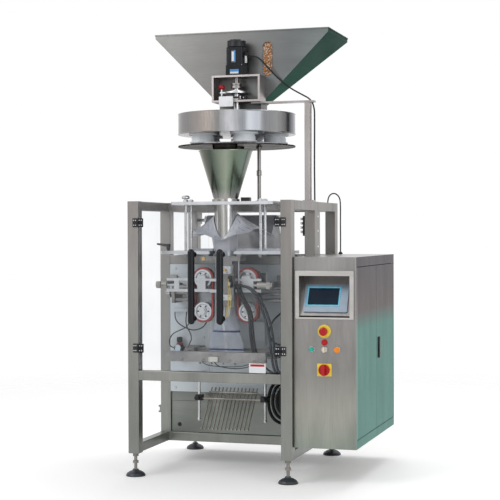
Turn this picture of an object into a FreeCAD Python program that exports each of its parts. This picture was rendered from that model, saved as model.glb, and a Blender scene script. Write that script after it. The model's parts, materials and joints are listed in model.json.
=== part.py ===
import FreeCAD, Part
import math
import os
from FreeCAD import Vector

# Vertical form fill sealer with a cup filler on top and an electrical cabinet at its right side.
# Millimetres. While modelling, X = 0 is the middle of the forming tube, Y = 0 the front of the
# posts (+Y to the rear) and Z = 0 the floor. The parts are written with the origin moved to the
# middle of the footprint.

os.makedirs("parts", exist_ok=True)

# ---------------------------------------------------------------- driving dimensions
# frame
frame_width = 840.0
frame_depth = 946.0
frame_top = 1360.0
post_size = 56.0
tube_wall = 3.0
post_bottom = 114.0
mid_post_y = 454.0
rail_size = 46.0
mid_beam_top = 1086.0
crossbar_top = 525.0
# levelling feet
pad_diameter = 96.0
pad_height = 34.0
foot_thread = 16.0
# cabinet
cabinet_width = 307.0
cabinet_front = 30.0
cabinet_depth = 918.0
cabinet_bottom = 174.0
cabinet_top = 1086.0
cabinet_sheet = 2.0
cabinet_door_thickness = 20.0
cabinet_door_bottom = 219.0
cabinet_door_top = 1037.0
cabinet_door_seam_y = 495.0
door_pin_inset = 9.0
door_pin_radius = 4.0
cabinet_handle_gap = 0.4
cabinet_handle_thickness = 6.0
# control face of the cabinet
recess_width = 247.0
recess_height = 197.0
recess_bottom = 800.0
recess_depth = 95.0
rim_width = 21.0
rim_proud = 6.0
hmi_width = 215.0
hmi_height = 143.0
hmi_thickness = 9.0
screen_width = 167.0
screen_height = 104.0
control_hole_radius = 11.0
emergency_stop_z = 734.0
lamp_z = 681.0
button_row_z = 647.0
button_spacing = 63.0
main_switch_z = 550.0
# acrylic front doors
pane_thickness = 8.0
pane_bottom = 532.0
pane_top = 1341.0
pane_side_gap = 4.0
pane_middle_gap = 4.0
door_hinge_height = 44.0
door_hinge_z = (636.0, 1254.0)
hinge_leaf_width = 27.0
hinge_leaf_thickness = 5.0
hinge_barrel_radius = 5.5
hinge_pin_radius = 2.5
handle_spacing = 146.0
handle_bottom = 760.0
handle_top = 1125.0
handle_width = 34.0
handle_standoff = 24.0
# forming set
forming_axis_y = 282.0
forming_tube_radius = 58.0
forming_tube_wall = 2.0
forming_tube_bottom = 786.0
upper_plate_half_width = 269.0
upper_plate_thickness = 16.0
lower_plate_half_width = 325.0
lower_plate_thickness = 16.0
lower_plate_z = 1096.0
plate_front_y = 208.0
plate_rod_radius = 7.5
plate_rod_x = 197.0
plate_rod_front_y = 232.0
plate_rod_rear_y = 312.0
film_gap = 3.0
collar_sheet = 2.5
cable_clip_z = 934.0
collar_low_z = 1180.0
collar_high_z = 1322.0
# film pull belts
pulley_radius = 46.0
pulley_width = 40.0
pulley_shaft_radius = 8.0
belt_thickness = 10.0
belt_seat_gap = 0.3
pulley_x = 118.0
upper_pulley_z = 972.0
lower_pulley_z = 806.0
belt_plate_thickness = 12.0
belt_plate_gap = 4.0
guide_bar_radius = 10.0
guide_bar_y = 360.0
guide_bar_z = (860.0, 925.0)
belt_cylinder_radius = 18.0
belt_cylinder_z = 940.0
# vertical sealer
sealer_bar_width = 20.0
sealer_bar_bottom = 830.0
sealer_bar_top = 1045.0
sealer_gap = 6.5
# cross sealing jaws
jaw_z = 591.0
jaw_height = 50.0
jaw_beam_half_width = 260.0
jaw_beam_y = 100.0
jaw_beam_thickness = 25.0
jaw_face_half_width = 120.0
jaw_face_height = 34.0
jaw_stroke = 44.0
jaw_rest_gap = 45.0
jaw_rod_x = 215.0
jaw_rod_radius = 12.0
yoke_y = 600.0
yoke_thickness = 25.0
jaw_cylinder_radius = 27.0
piston_rod_radius = 10.0
knife_thickness = 1.2
# mounting panel behind the film drive
panel_thickness = 5.0
panel_bottom = 374.0
# film roll and rollers
film_width = 380.0
film_roll_radius = 150.0
film_roll_y = frame_depth - 201.0
film_roll_z = 395.0
film_shaft_radius = 17.5
roller_radius = 25.0
dancer_pivot_y = frame_depth - 96.0
dancer_pivot_z = 1010.0
dancer_clearance = 25.0
# cup filler, hung below the hopper
hopper_top = 2253.0
turntable_y = 468.0
drum_radius = 302.0
drum_wall = 3.0
drum_bottom = hopper_top - 546.0
drum_top = hopper_top - 439.0
turntable_disc_z = drum_bottom
turntable_disc_thickness = 6.0
cup_count = 5
cup_circle_radius = 198.0
cup_angle = 28.4
cup_bore_radius = 50.0
cup_wall = 3.5
cup_flange_radius = 71.0
cup_bottom_z = drum_bottom - 39.0
sleeve_bottom_z = drum_bottom - 51.0
base_disc_z = drum_bottom - 57.0
base_disc_thickness = 6.0
base_disc_radius = 303.0
filler_shaft_radius = 15.0
support_post_x = 116.0
support_post_radius = 9.5
bracket_left = -120.0
bracket_right = 138.0
bracket_front_y = 420.0
bracket_bottom = hopper_top - 378.0
bracket_top = hopper_top - 240.0
bracket_plate = 10.0
filler_post_width = 26.0
filler_post_depth = 50.0
filler_arm_thickness = 8.0
motor_size = 92.0
gearhead_height = 52.0
motor_height = 92.0
fan_cover_height = 40.0
# hopper and funnel
hopper_front_y = 530.0
hopper_half_width = 471.0
hopper_depth = 437.0
hopper_bottom = hopper_top - 383.0
hopper_outlet_half_width = 113.0
hopper_outlet_depth = 110.0
hopper_neck_bottom = hopper_top - 511.0
hopper_wall = 3.0
hopper_rim = 3.0
window_x = 148.5
window_width = 52.0
window_bottom = hopper_top - 236.0
window_top = hopper_top - 62.0
funnel_top_radius = 134.0
funnel_top = drum_bottom - 94.0
funnel_wall = 2.0
funnel_neck_radius = 53.0
# bag chute
hanger_x = 177.0
hanger_y = 372.0
hanger_radius = 7.0
hanger_top = 470.0
hanger_bottom = 244.0
chute_clamp_z = 357.0
chute_rod_radius = 3.0
chute_rod_count = 13
chute_half_width = 122.0
chute_top_y = 418.0
chute_top_z = 404.0
chute_bottom_y = 253.0
chute_bottom_z = 214.0
# clearances
running_gap = 0.05
sliding_gap = 0.3
seam_gap = 1.5

# ---------------------------------------------------------------- derived planes
half_width = frame_width / 2
post_in = half_width - post_size
rear_post_y = frame_depth - post_size
cabinet_left = half_width
cabinet_right = cabinet_left + cabinet_width
cabinet_rear = cabinet_front + cabinet_depth
cabinet_mid_x = cabinet_left + cabinet_width / 2 - 1.0
panel_front = mid_post_y - 2.0
panel_back = panel_front + panel_thickness
belt_motor_back = panel_back + 190.0
dancer_length = (dancer_pivot_y - belt_motor_back - roller_radius - dancer_clearance) / 0.9
upper_plate_z = frame_top - upper_plate_thickness
lower_plate_top = lower_plate_z + lower_plate_thickness
belt_front = forming_axis_y - pulley_width / 2
belt_back = forming_axis_y + pulley_width / 2
belt_outer_radius = pulley_radius + belt_seat_gap + belt_thickness
front_jaw_face = forming_axis_y - jaw_rest_gap
rear_jaw_face = forming_axis_y + jaw_rest_gap
catch_width = 14.0
handle_front = -handle_standoff - handle_width
hinge_x = post_in
hinge_y = -hinge_barrel_radius - 0.5
left_extent = -hopper_half_width - hopper_rim
right_extent = cabinet_right + cabinet_handle_gap + cabinet_handle_thickness
front_extent = handle_front
origin_x = (left_extent + right_extent) / 2
origin_y = (front_extent + hopper_front_y + hopper_depth + hopper_rim) / 2

parts = {}


# ---------------------------------------------------------------- helpers
def box(x0, x1, y0, y1, z0, z1):
    return Part.makeBox(x1 - x0, y1 - y0, z1 - z0, Vector(x0, y0, z0))


def rod_x(x0, x1, y, z, radius):
    return Part.makeCylinder(radius, x1 - x0, Vector(x0, y, z), Vector(1, 0, 0))


def rod_y(x, y0, y1, z, radius):
    return Part.makeCylinder(radius, y1 - y0, Vector(x, y0, z), Vector(0, 1, 0))


def rod_z(x, y, z0, z1, radius):
    return Part.makeCylinder(radius, z1 - z0, Vector(x, y, z0), Vector(0, 0, 1))


def ring_z(x, y, z0, z1, outer, inner):
    return rod_z(x, y, z0, z1, outer).cut(rod_z(x, y, z0 - 1, z1 + 1, inner))


def ring_y(x, y0, y1, z, outer, inner):
    return rod_y(x, y0, y1, z, outer).cut(rod_y(x, y0 - 1, y1 + 1, z, inner))


def ring_x(x0, x1, y, z, outer, inner):
    return rod_x(x0, x1, y, z, outer).cut(rod_x(x0 - 1, x1 + 1, y, z, inner))


def prism(points, direction):
    wire = Part.makePolygon([Vector(*p) for p in points] + [Vector(*points[0])])
    return Part.Face(wire).extrude(Vector(*direction))


def turned(profile, x, y):
    # profile: (radius, z) pairs, turned about the vertical through x, y
    wire = Part.makePolygon([Vector(x + r, y, z) for r, z in profile + profile[:1]])
    return Part.Face(wire).revolve(Vector(x, y, 0), Vector(0, 0, 1), 360)


def turned_y(profile, x, z):
    # profile: (radius, y) pairs, turned about the line along Y through x, z
    wire = Part.makePolygon([Vector(x + r, y, z) for r, y in profile + profile[:1]])
    return Part.Face(wire).revolve(Vector(x, 0, z), Vector(0, 1, 0), 360)


def soften(shape, radius, test):
    edges = [e for e in shape.Edges if test(e)]
    return shape.makeFillet(radius, edges)


def along(edge, axis):
    first = edge.Vertexes[0].Point
    last = edge.Vertexes[-1].Point
    span = last.sub(first)
    rest = [abs(v) for i, v in enumerate((span.x, span.y, span.z)) if i != axis]
    return span.Length > 1e-6 and max(rest) < 1e-6


def rounded(shape, radius, axis):
    return soften(shape, radius, lambda e: along(e, axis))


def fused(shapes):
    return shapes[0].multiFuse(shapes[1:]).removeSplitter()


def group(shapes):
    return Part.makeCompound(shapes)


def mirrored(shape):
    return shape.mirror(Vector(0, 0, 0), Vector(1, 0, 0))


def hex_nut_z(x, y, z0, z1, across, bore):
    reach = across / math.sqrt(3)
    corners = []
    for i in range(6):
        angle = math.radians(60 * i)
        corners.append((x + reach * math.cos(angle), y + reach * math.sin(angle), z0))
    nut = prism(corners, (0, 0, z1 - z0))
    return nut.cut(rod_z(x, y, z0 - 1, z1 + 1, bore)) if bore else nut


def hex_head_y(x, y0, y1, z, across):
    reach = across / math.sqrt(3)
    corners = []
    for i in range(6):
        angle = math.radians(60 * i + 30)
        corners.append((x + reach * math.cos(angle), y0, z + reach * math.sin(angle)))
    return prism(corners, (0, y1 - y0, 0))


# ---------------------------------------------------------------- frame
def square_tube(x0, x1, y0, y1, z0, z1, axis):
    outer = rounded(box(x0, x1, y0, y1, z0, z1), 3.0, axis)
    wall = tube_wall
    grow = [wall, wall, wall]
    grow[axis] = -1.0
    inner = box(x0 + grow[0], x1 - grow[0], y0 + grow[1], y1 - grow[1], z0 + grow[2], z1 - grow[2])
    return outer.cut(inner)


def closed_post(x, y):
    # a post is a square tube with welded end plates, the lower one bored for the foot
    tube = square_tube(x, x + post_size, y, y + post_size, post_bottom, frame_top, 2)
    inset = (x + tube_wall, x + post_size - tube_wall, y + tube_wall, y + post_size - tube_wall)
    cap = box(*inset, frame_top - 4, frame_top)
    plug = box(*inset, post_bottom, post_bottom + 10)
    middle = (x + post_size / 2, y + post_size / 2)
    plug = plug.cut(rod_z(*middle, post_bottom - 1, post_bottom + 11, foot_thread / 2 + running_gap))
    return fused([tube, cap, plug])


def frame_posts():
    posts = []
    for x in (-half_width, post_in):
        for y in (0.0, mid_post_y, rear_post_y):
            posts.append(closed_post(x, y))
    return group(posts)


def frame_rails():
    rails = []
    top = (frame_top - rail_size, frame_top)
    low = (post_bottom, post_bottom + rail_size)
    belt = (mid_beam_top - rail_size, mid_beam_top)
    bays = ((post_size, mid_post_y), (mid_post_y + post_size, rear_post_y))
    for side in (-1, 1):
        x0 = -half_width if side < 0 else half_width - rail_size
        for y0, y1 in bays:
            for z0, z1 in (top, low):
                rails.append(square_tube(x0, x0 + rail_size, y0, y1, z0, z1, 1))
        y0, y1 = bays[1]
        rails.append(square_tube(x0, x0 + rail_size, y0, y1, *belt, 1))
    for y0 in (mid_post_y, frame_depth - rail_size):
        for z0, z1 in (top, belt, low):
            rails.append(square_tube(-post_in, post_in, y0, y0 + rail_size, z0, z1, 0))
    crossbar = (crossbar_top - rail_size - 2, crossbar_top)
    rails.append(square_tube(-post_in, post_in, 0.0, rail_size, *crossbar, 0))
    strip = box(half_width - 8, half_width - 5, mid_post_y + post_size, mid_post_y + post_size + 62,
                mid_beam_top, frame_top - rail_size)
    slot_y = mid_post_y + post_size + 31
    for z in (mid_beam_top + 42, mid_beam_top + 122, mid_beam_top + 196):
        strip = strip.cut(box(half_width - 9, half_width - 4, slot_y - 14, slot_y + 14, z, z + 7))
    rails.append(strip)
    return group(rails)


def levelling_foot(x, y):
    r = pad_diameter / 2
    dome = [(0, 0), (r, 0), (r, 6), (r * 0.9, 14), (r * 0.62, 23), (r * 0.34, 28),
            (14, pad_height), (0, pad_height)]
    pad = turned(dome, x, y)
    stem = rod_z(x, y, pad_height - 2, post_bottom + 40, foot_thread / 2)
    body = fused([pad, stem])
    nuts = [hex_nut_z(x, y, 64, 76, 27, 0), hex_nut_z(x, y, 98, post_bottom, 27, 0)]
    return fused([body] + nuts)


def levelling_feet():
    mid = post_size / 2
    feet = []
    for x in (-half_width + mid, half_width - mid):
        for y in (mid, frame_depth - mid):
            feet.append(levelling_foot(x, y))
    return group(feet)


# ---------------------------------------------------------------- panels
def mounting_panel():
    top = mid_beam_top - rail_size
    sheet = box(-post_in, post_in, panel_front, panel_back, panel_bottom, top)
    for side in (-1, 1):
        slot = box(side * pulley_x - 44, side * pulley_x + 44, panel_front - 1, panel_back + 1,
                   upper_pulley_z - 24, upper_pulley_z + 24)
        sheet = sheet.cut(slot)
        sheet = sheet.cut(rod_y(side * jaw_rod_x, panel_front - 1, panel_back + 1, jaw_z, 22))
    sheet = sheet.cut(rod_y(0, panel_front - 1, panel_back + 1, jaw_z, jaw_cylinder_radius + 5))
    for i in range(7):
        sheet = sheet.cut(rod_y(-200 + 32 * i, panel_front - 1, panel_back + 1, 525 + 8 * (i % 2), 5))
    screws = []
    for x, z in ((-334, 1017), (165, 1029), (165, 1009), (-336, 394), (336, 394), (336, 1017),
                 (-180, 660), (300, 640)):
        screws.append(hex_head_y(x, panel_front - 5, panel_front, z, 10))
    shield_y = panel_front - 22
    shield = box(-150, 160, shield_y - 3, shield_y, 622, 745)
    shield = rounded(shield, 6, 1)
    posts = []
    for x in (-138, 148):
        for z in (634, 733):
            posts.append(rod_y(x, shield_y, panel_front, z, 6))
    cover = rounded(box(-290, -214, panel_front - 16, panel_front, 815, 903), 5, 1)
    manifold = box(-340, -215, panel_front - 18, panel_front, 792, 806)
    return group([sheet, fused([shield] + posts), cover, manifold] + screws)


def lower_panels():
    gap = seam_gap
    y0 = mid_post_y + 12
    door_top = post_bottom + rail_size + 164
    strip = box(-post_in, post_in, y0, y0 + 2, door_top + gap, panel_bottom)
    low = post_bottom + rail_size
    door = box(-post_in + gap, post_in - gap, y0, y0 + 18, low + gap, door_top)
    door = door.cut(box(-post_in + gap + 2, post_in - gap - 2, y0 + 2, y0 + 19, low + gap + 2, door_top - 2))
    lock = turned_y([(0, y0 - 3), (9, y0 - 3), (11, y0), (8, y0), (8, y0 + 2), (8, y0 + 16), (0, y0 + 16)],
                    -319, 199)
    door = door.cut(rod_y(-319, y0 - 1, y0 + 19, 199, 8))
    for z in (low + 20, door_top - 50):
        for x in (-post_in, post_in - gap - 1):
            door = fused([door, box(x, x + gap + 1, y0 + 4, y0 + 16, z, z + 30)])
    side_bay = (mid_post_y + post_size + gap, rear_post_y - gap)
    side = box(-half_width + 4, -half_width + 6, *side_bay, low + gap, mid_beam_top - rail_size - gap)
    rear = box(-post_in + gap, post_in - gap, frame_depth - 8, frame_depth - 6, low + gap, 650)
    lips = []
    lips.append(box(-half_width + 4, -half_width + 24, *side_bay, low + gap, low + gap + 2))
    for y in (side_bay[0] + 20, side_bay[1] - 60):
        lips.append(box(-half_width + 6, -half_width + 22, y, y + 40, low, low + gap + 1))
        lips.append(box(-half_width + 6, -half_width + 22, y, y + 40,
                        mid_beam_top - rail_size - gap - 1, mid_beam_top - rail_size))
    lips.append(box(-half_width + 4, -half_width + 24, *side_bay, mid_beam_top - rail_size - gap - 2,
                    mid_beam_top - rail_size - gap))
    rear_lip = box(-post_in + gap, post_in - gap, frame_depth - 28, frame_depth - 6, 648, 650)
    tabs = []
    for x in (-post_in + gap, post_in - gap - 30):
        tabs.append(box(x, x + 30, frame_depth - 8, frame_depth - 6, low, low + gap + 1))
    catch = box(-half_width - catch_width, -half_width, mid_post_y + 4, mid_post_y + 30, 259, 297)
    catch = catch.cut(box(-half_width - catch_width - 1, -half_width - 5, mid_post_y + 3,
                          mid_post_y + 22, 268, 288))
    return group([strip, door, lock, fused([side] + lips), fused([rear, rear_lip] + tabs), catch])


# ---------------------------------------------------------------- cabinet
def cabinet_openings():
    # door openings in the right side, with the swing gap at the hinged edges
    swing = 3.0
    x0, x1 = cabinet_right - cabinet_sheet - 1, cabinet_right + 1
    z0, z1 = cabinet_door_bottom - 3, cabinet_door_top + 3
    front = box(x0, x1, cabinet_front + 13, cabinet_door_seam_y - 14, z0, z1)
    rear = box(x0, x1, cabinet_door_seam_y + 14, cabinet_rear - 13, z0, z1)
    middle = box(x0, x1, cabinet_door_seam_y - 15, cabinet_door_seam_y + 15, z0, z1)
    return [front, rear, middle]


def cabinet_shell():
    w = cabinet_sheet
    outer = rounded(box(cabinet_left, cabinet_right, cabinet_front, cabinet_rear, cabinet_bottom,
                        cabinet_top), 4.0, 2)
    inner = box(cabinet_left + w, cabinet_right - w, cabinet_front + w, cabinet_rear - w,
                cabinet_bottom + w, cabinet_top - w)
    shell = outer.cut(inner)
    for opening in cabinet_openings():
        shell = shell.cut(opening)
    x0 = cabinet_mid_x - recess_width / 2
    x1 = cabinet_mid_x + recess_width / 2
    z0, z1 = recess_bottom, recess_bottom + recess_height
    shell = shell.cut(box(x0, x1, cabinet_front - 1, cabinet_front + w + 1, z0, z1))
    for x, z in ((cabinet_mid_x, emergency_stop_z), (cabinet_mid_x, lamp_z),
                 (cabinet_mid_x, button_row_z), (cabinet_mid_x - button_spacing, button_row_z),
                 (cabinet_mid_x + button_spacing, button_row_z), (cabinet_mid_x, main_switch_z)):
        shell = shell.cut(rod_y(x, cabinet_front - 1, cabinet_front + w + 1, z, control_hole_radius))
    # raised rim around the recess, standing proud of the front
    rim = box(x0 - rim_width, x1 + rim_width, cabinet_front - rim_proud, cabinet_front,
              z0 - 10, z1 + 27)
    rim = rounded(rim, 5.0, 1)
    rim = soften(rim, 3.0, lambda e: e.BoundBox.YMax < cabinet_front - rim_proud + 0.01)
    rim = rim.cut(box(x0, x1, cabinet_front - 20, cabinet_front + 1, z0, z1))
    # recess: slanted back plate, top and two cheeks
    y0, y1 = cabinet_front, cabinet_front + recess_depth
    profile = [(x0 - w, y0, z0 - w), (x0 - w, y0, z1 + w), (x0 - w, y1 + w, z1 + w)]
    wedge = prism(profile, (recess_width + 2 * w, 0, 0))
    hollow = prism([(x0, y0 - 1, z0 - 1), (x0, y0 - 1, z1), (x0, y1, z1), (x0, y0, z0)],
                   (recess_width, 0, 0))
    tray = wedge.cut(hollow)
    tray = tray.cut(box(x0 - 5, x1 + 5, y0 - 5, y0 + w, z0 - 5, z1 + 5))
    tray = tray.cut(slanted_box(hmi_width - 16, hmi_height - 16, -20, 20))
    centre = box(cabinet_right - 40, cabinet_right - 22, cabinet_door_seam_y - 12,
                 cabinet_door_seam_y + 12, cabinet_bottom + w, cabinet_top - w)
    lugs = []
    pin_x = cabinet_right - door_pin_inset
    for y in (front_door_pin_y(), rear_door_pin_y()):
        for z in (cabinet_door_bottom - 17, cabinet_door_top + 3):
            lug = box(pin_x - 10, cabinet_right - w, y - 10, y + 10, z, z + 14)
            lugs.append(lug.cut(rod_z(pin_x, y, z - 1, z + 15, door_pin_radius + running_gap)))
    plate = box(cabinet_left + 14, cabinet_left + 17, cabinet_front + 60, cabinet_rear - 60,
                cabinet_bottom + 60, 770)
    studs = []
    for y in (cabinet_front + 80, cabinet_rear - 80):
        for z in (cabinet_bottom + 80, 750):
            studs.append(rod_x(cabinet_left + w, cabinet_left + 14, y, z, 5))
    # cable glands through the floor and the rear
    glands = []
    for y in (700, 750, 800):
        shell = shell.cut(rod_z(cabinet_left + 70, y, cabinet_bottom - 1, cabinet_bottom + w + 1, 12))
        glands.append(ring_z(cabinet_left + 70, y, cabinet_bottom - 14, cabinet_bottom + w, 12, 6))
    whole = fused([shell, tray, rim] + lugs)
    sheets = []
    for cell in cabinet_cells():
        sheets += whole.common(cell).Solids
    return group(sheets + [centre, fused([plate] + studs)] + glands)


def cabinet_cells():
    # the cabinet is welded from single sheets: each cell holds one of them
    x0, x1 = cabinet_left - 1, cabinet_right + 1
    y0, y1 = cabinet_front - 10, cabinet_rear + 1
    z0, z1 = cabinet_bottom - 1, cabinet_top + 1
    front, rear = cabinet_front + 4, cabinet_rear - 4
    low, high = cabinet_bottom + cabinet_sheet, cabinet_top - cabinet_sheet
    left, right = cabinet_left + cabinet_sheet, cabinet_right - 24
    a = cabinet_mid_x - recess_width / 2
    b = cabinet_mid_x + recess_width / 2
    c, d = recess_bottom, recess_bottom + recess_height
    door_low, door_high = cabinet_door_bottom - 2, cabinet_door_top + 2
    cells = [box(x0, x1, y0, front, z0, c), box(x0, x1, y0, front, d, z1),
             box(x0, a, y0, front, c, d), box(b, x1, y0, front, c, d),
             box(a - 3, a, front, 200, c - 3, d), box(b, b + 3, front, 200, c - 3, d),
             box(a - 3, b + 3, front, 200, d, d + 3), box(a, b, front, 200, c - 3, d),
             box(x0, x1, rear, y1, z0, z1),
             box(x0, left, front, rear, low, high),
             box(x0, x1, front, rear, z0, low), box(x0, x1, front, rear, high, z1),
             box(right, x1, front, rear, low, door_low), box(right, x1, front, rear, door_high, high),
             box(right, x1, front, cabinet_front + 14, door_low, door_high),
             box(right, x1, cabinet_rear - 14, rear, door_low, door_high)]
    return cells


def front_door_pin_y():
    return cabinet_front + 16 + door_pin_inset


def rear_door_pin_y():
    return cabinet_rear - 16 - door_pin_inset


def slanted_box(width, height, below, above):
    # a box lying on the slanted back plate of the recess, centred on the touch panel
    angle = math.degrees(math.atan2(recess_depth, recess_height))
    length = math.hypot(recess_depth, recess_height)
    body = box(-width / 2, width / 2, -above, -below, -height / 2, height / 2)
    body.rotate(Vector(0, 0, 0), Vector(1, 0, 0), -angle)
    middle = 0.44
    body.translate(Vector(cabinet_mid_x, cabinet_front + recess_depth * middle,
                          recess_bottom + recess_height * middle))
    return body


def hmi_panel():
    bezel = slanted_box(hmi_width, hmi_height, 0, hmi_thickness)
    bezel = soften(bezel, 5.0, lambda e: abs(e.Length - hmi_thickness) < 0.01)
    shift = (hmi_width - screen_width) / 2 - 11
    rise = (hmi_height - screen_height) / 2 - 11
    window = slanted_box(screen_width, screen_height, hmi_thickness - 1.5, hmi_thickness + 1)
    angle = math.atan2(recess_depth, recess_height)
    move = Vector(-shift, rise * math.sin(angle), rise * math.cos(angle))
    window.translate(move)
    bezel = bezel.cut(window)
    back = slanted_box(hmi_width - 17, hmi_height - 17, -38, 0)
    glass = slanted_box(screen_width - 0.6, screen_height - 0.6, hmi_thickness - 1.5,
                        hmi_thickness - 0.5)
    glass.translate(move)
    return group([fused([bezel, back]), glass])


def fitting(x, z, profile, bore):
    # a round fitting on the cabinet front with a threaded body behind it; profile (radius, y)
    y0 = cabinet_front
    points = [(0, profile[0][1])] + profile
    points += [(control_hole_radius, y0), (control_hole_radius, y0 + 26), (0, y0 + 26)]
    body = turned_y(points, x, z)
    nut = ring_y(x, y0 + cabinet_sheet, y0 + cabinet_sheet + 6, z, 15, control_hole_radius)
    body = body.cut(rod_y(x, y0 - 40, y0 + 30, z, bore + running_gap)) if bore else body
    return [body, nut]


def control_fittings():
    y0 = cabinet_front
    solids = []
    ring = [(26, y0 - 12), (32, y0 - 4), (32, y0)]
    solids += fitting(cabinet_mid_x, emergency_stop_z, ring, 8)
    lens = [(9, y0 - 13), (12, y0 - 10), (12, y0 - 4), (15, y0 - 3), (15, y0)]
    solids += fitting(cabinet_mid_x, lamp_z, lens, 0)
    bezel = [(13, y0 - 5), (15, y0 - 3), (15, y0)]
    for x in (-button_spacing, button_spacing):
        solids += fitting(cabinet_mid_x + x, button_row_z, bezel, 8)
    solids += fitting(cabinet_mid_x, button_row_z, bezel, 6)
    plate = rounded(box(cabinet_mid_x - 35, cabinet_mid_x + 35, y0 - 4, y0, main_switch_z - 30,
                        main_switch_z + 30), 4, 1)
    body = rounded(box(cabinet_mid_x - 24, cabinet_mid_x + 24, y0 + cabinet_sheet, y0 + 52,
                       main_switch_z - 24, main_switch_z + 24), 3, 1)
    neck = rod_y(cabinet_mid_x, y0, y0 + cabinet_sheet, main_switch_z, control_hole_radius)
    switch = fused([plate, neck, body])
    switch = switch.cut(rod_y(cabinet_mid_x, y0 - 6, y0 + 30, main_switch_z, 6 + running_gap))
    solids.append(switch)
    return group(solids)


def push_button(x, travel_gap, head):
    # head (radius, y) profile in front of the bezel and a stem guided in the fitting
    z = button_row_z
    y0 = cabinet_front
    profile = [(0, head[0][1])] + head
    profile += [(8, y0 - 5 - travel_gap), (8, y0 + 34), (0, y0 + 34)]
    return turned_y(profile, x, z)


def emergency_stop_button():
    y0 = cabinet_front
    profile = [(0, y0 - 38), (12, y0 - 37), (18, y0 - 34), (20, y0 - 29), (20, y0 - 23),
               (17, y0 - 18), (8, y0 - 18), (8, y0 + 34), (0, y0 + 34)]
    return turned_y(profile, cabinet_mid_x, emergency_stop_z)


def start_button():
    y0 = cabinet_front
    head = [(9, y0 - 15), (10.5, y0 - 13.5), (10.5, y0 - 9.5)]
    return push_button(cabinet_mid_x - button_spacing, 4.5, head)


def stop_button():
    y0 = cabinet_front
    head = [(12, y0 - 17), (14, y0 - 15), (14, y0 - 9.5)]
    return push_button(cabinet_mid_x + button_spacing, 4.5, head)


def selector_knob():
    y0 = cabinet_front
    profile = [(0, y0 - 11), (12, y0 - 11), (13, y0 - 10), (13, y0 - 5.5), (6, y0 - 5.5),
               (6, y0 + 30), (0, y0 + 30)]
    body = turned_y(profile, cabinet_mid_x, button_row_z)
    grip = rounded(box(cabinet_mid_x - 4, cabinet_mid_x + 4, y0 - 24, y0 - 9, button_row_z - 13,
                       button_row_z + 13), 2.5, 0)
    return fused([body, grip])


def main_switch_knob():
    y0 = cabinet_front
    profile = [(0, y0 - 16), (23, y0 - 16), (27, y0 - 12), (27, y0 - 4.5), (6, y0 - 4.5),
               (6, y0 + 28), (0, y0 + 28)]
    body = turned_y(profile, cabinet_mid_x, main_switch_z)
    grip = rounded(box(cabinet_mid_x - 8, cabinet_mid_x + 8, y0 - 36, y0 - 14, main_switch_z - 24,
                       main_switch_z + 24), 5, 1)
    return fused([body, grip])


def cabinet_door(pin_y, free_y, handle_side):
    # a tray-shaped door with a rounded hinge edge and pivot pins at top and bottom
    t = cabinet_door_thickness
    z0, z1 = cabinet_door_bottom, cabinet_door_top
    edge = pin_y - door_pin_inset if free_y > pin_y else pin_y + door_pin_inset
    y0, y1 = min(edge, free_y), max(edge, free_y)
    body = box(cabinet_right - t, cabinet_right, y0, y1, z0, z1)
    body = soften(body, door_pin_inset - 0.2, lambda e: along(e, 2)
                  and abs(e.Vertexes[0].Y - edge) < 0.1 and e.Vertexes[0].X > cabinet_right - 1)
    hollow = box(cabinet_right - t - 1, cabinet_right - 2, y0 + 20, y1 - 20, z0 + 20, z1 - 20)
    body = body.cut(hollow)
    pin_x = cabinet_right - door_pin_inset
    pins = [rod_z(pin_x, pin_y, z0 - 15, z0 + 20, door_pin_radius),
            rod_z(pin_x, pin_y, z1 - 20, z1 + 15, door_pin_radius)]
    door = fused([body] + pins)
    if handle_side:
        door = door.cut(rod_x(cabinet_right - 3, cabinet_right + 1, handle_pivot_y(),
                              handle_pivot_z(), 9 + running_gap))
    return door


def handle_pivot_y():
    return cabinet_door_seam_y + 60


def handle_pivot_z():
    return 660.0


def cabinet_door_front():
    return cabinet_door(front_door_pin_y(), cabinet_door_seam_y - 1.5, False)


def cabinet_door_rear():
    return cabinet_door(rear_door_pin_y(), cabinet_door_seam_y + 1.5, True)


def cabinet_handle():
    # swing handle: escutcheon lies flat on the door, the lever turns on its upper end
    y, z = handle_pivot_y(), handle_pivot_z()
    x0 = cabinet_right + cabinet_handle_gap
    thick = cabinet_handle_thickness
    lever = rounded(box(x0, x0 + thick, y - 10, y + 10, z - 94, z + 14), 8, 0)
    lever = soften(lever, 2, lambda e: e.BoundBox.XMin > x0 + thick - 0.1)
    lever = lever.cut(box(x0 - 1, x0 + thick - 3, y - 7, y + 7, z - 84, z - 16))
    spindle = rod_x(cabinet_right - 34, x0 + 2, y, z, 9)
    cam = rounded(box(cabinet_right - 34, cabinet_right - 28, y - 30, y + 10, z - 10, z + 10), 4, 0)
    return fused([lever, spindle, cam])


# ---------------------------------------------------------------- acrylic doors
def door_pane(side):
    x0, x1 = pane_middle_gap / 2, hinge_x - pane_side_gap
    pane = rounded(box(x0, x1, 2, 2 + pane_thickness, pane_bottom, pane_top), 4, 1)
    for z in door_hinge_z:
        for dx in (8, 19):
            for dz in (-12, 12):
                pane = pane.cut(rod_y(hinge_x - 1 - dx, 1, 11, z + dz, 2.5))
    return pane if side > 0 else mirrored(pane)


def hinge_knuckle(z0, z1, leaf):
    x, y = hinge_x, hinge_y
    r = hinge_barrel_radius
    barrel = rod_z(x, y, z0, z1, r)
    if leaf == "fixed":
        arm = box(x, x + 6, hinge_y, -0.6, z0, z1)
        return fused([barrel, arm])
    arm = box(x - 6, x - 0.5, hinge_y, 2, z0, z1).cut(rod_z(x, y, z0 - 1, z1 + 1, hinge_pin_radius + 1))
    return fused([barrel, arm]).cut(rod_z(x, y, z0 - 1, z1 + 1, hinge_pin_radius + running_gap))


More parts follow.
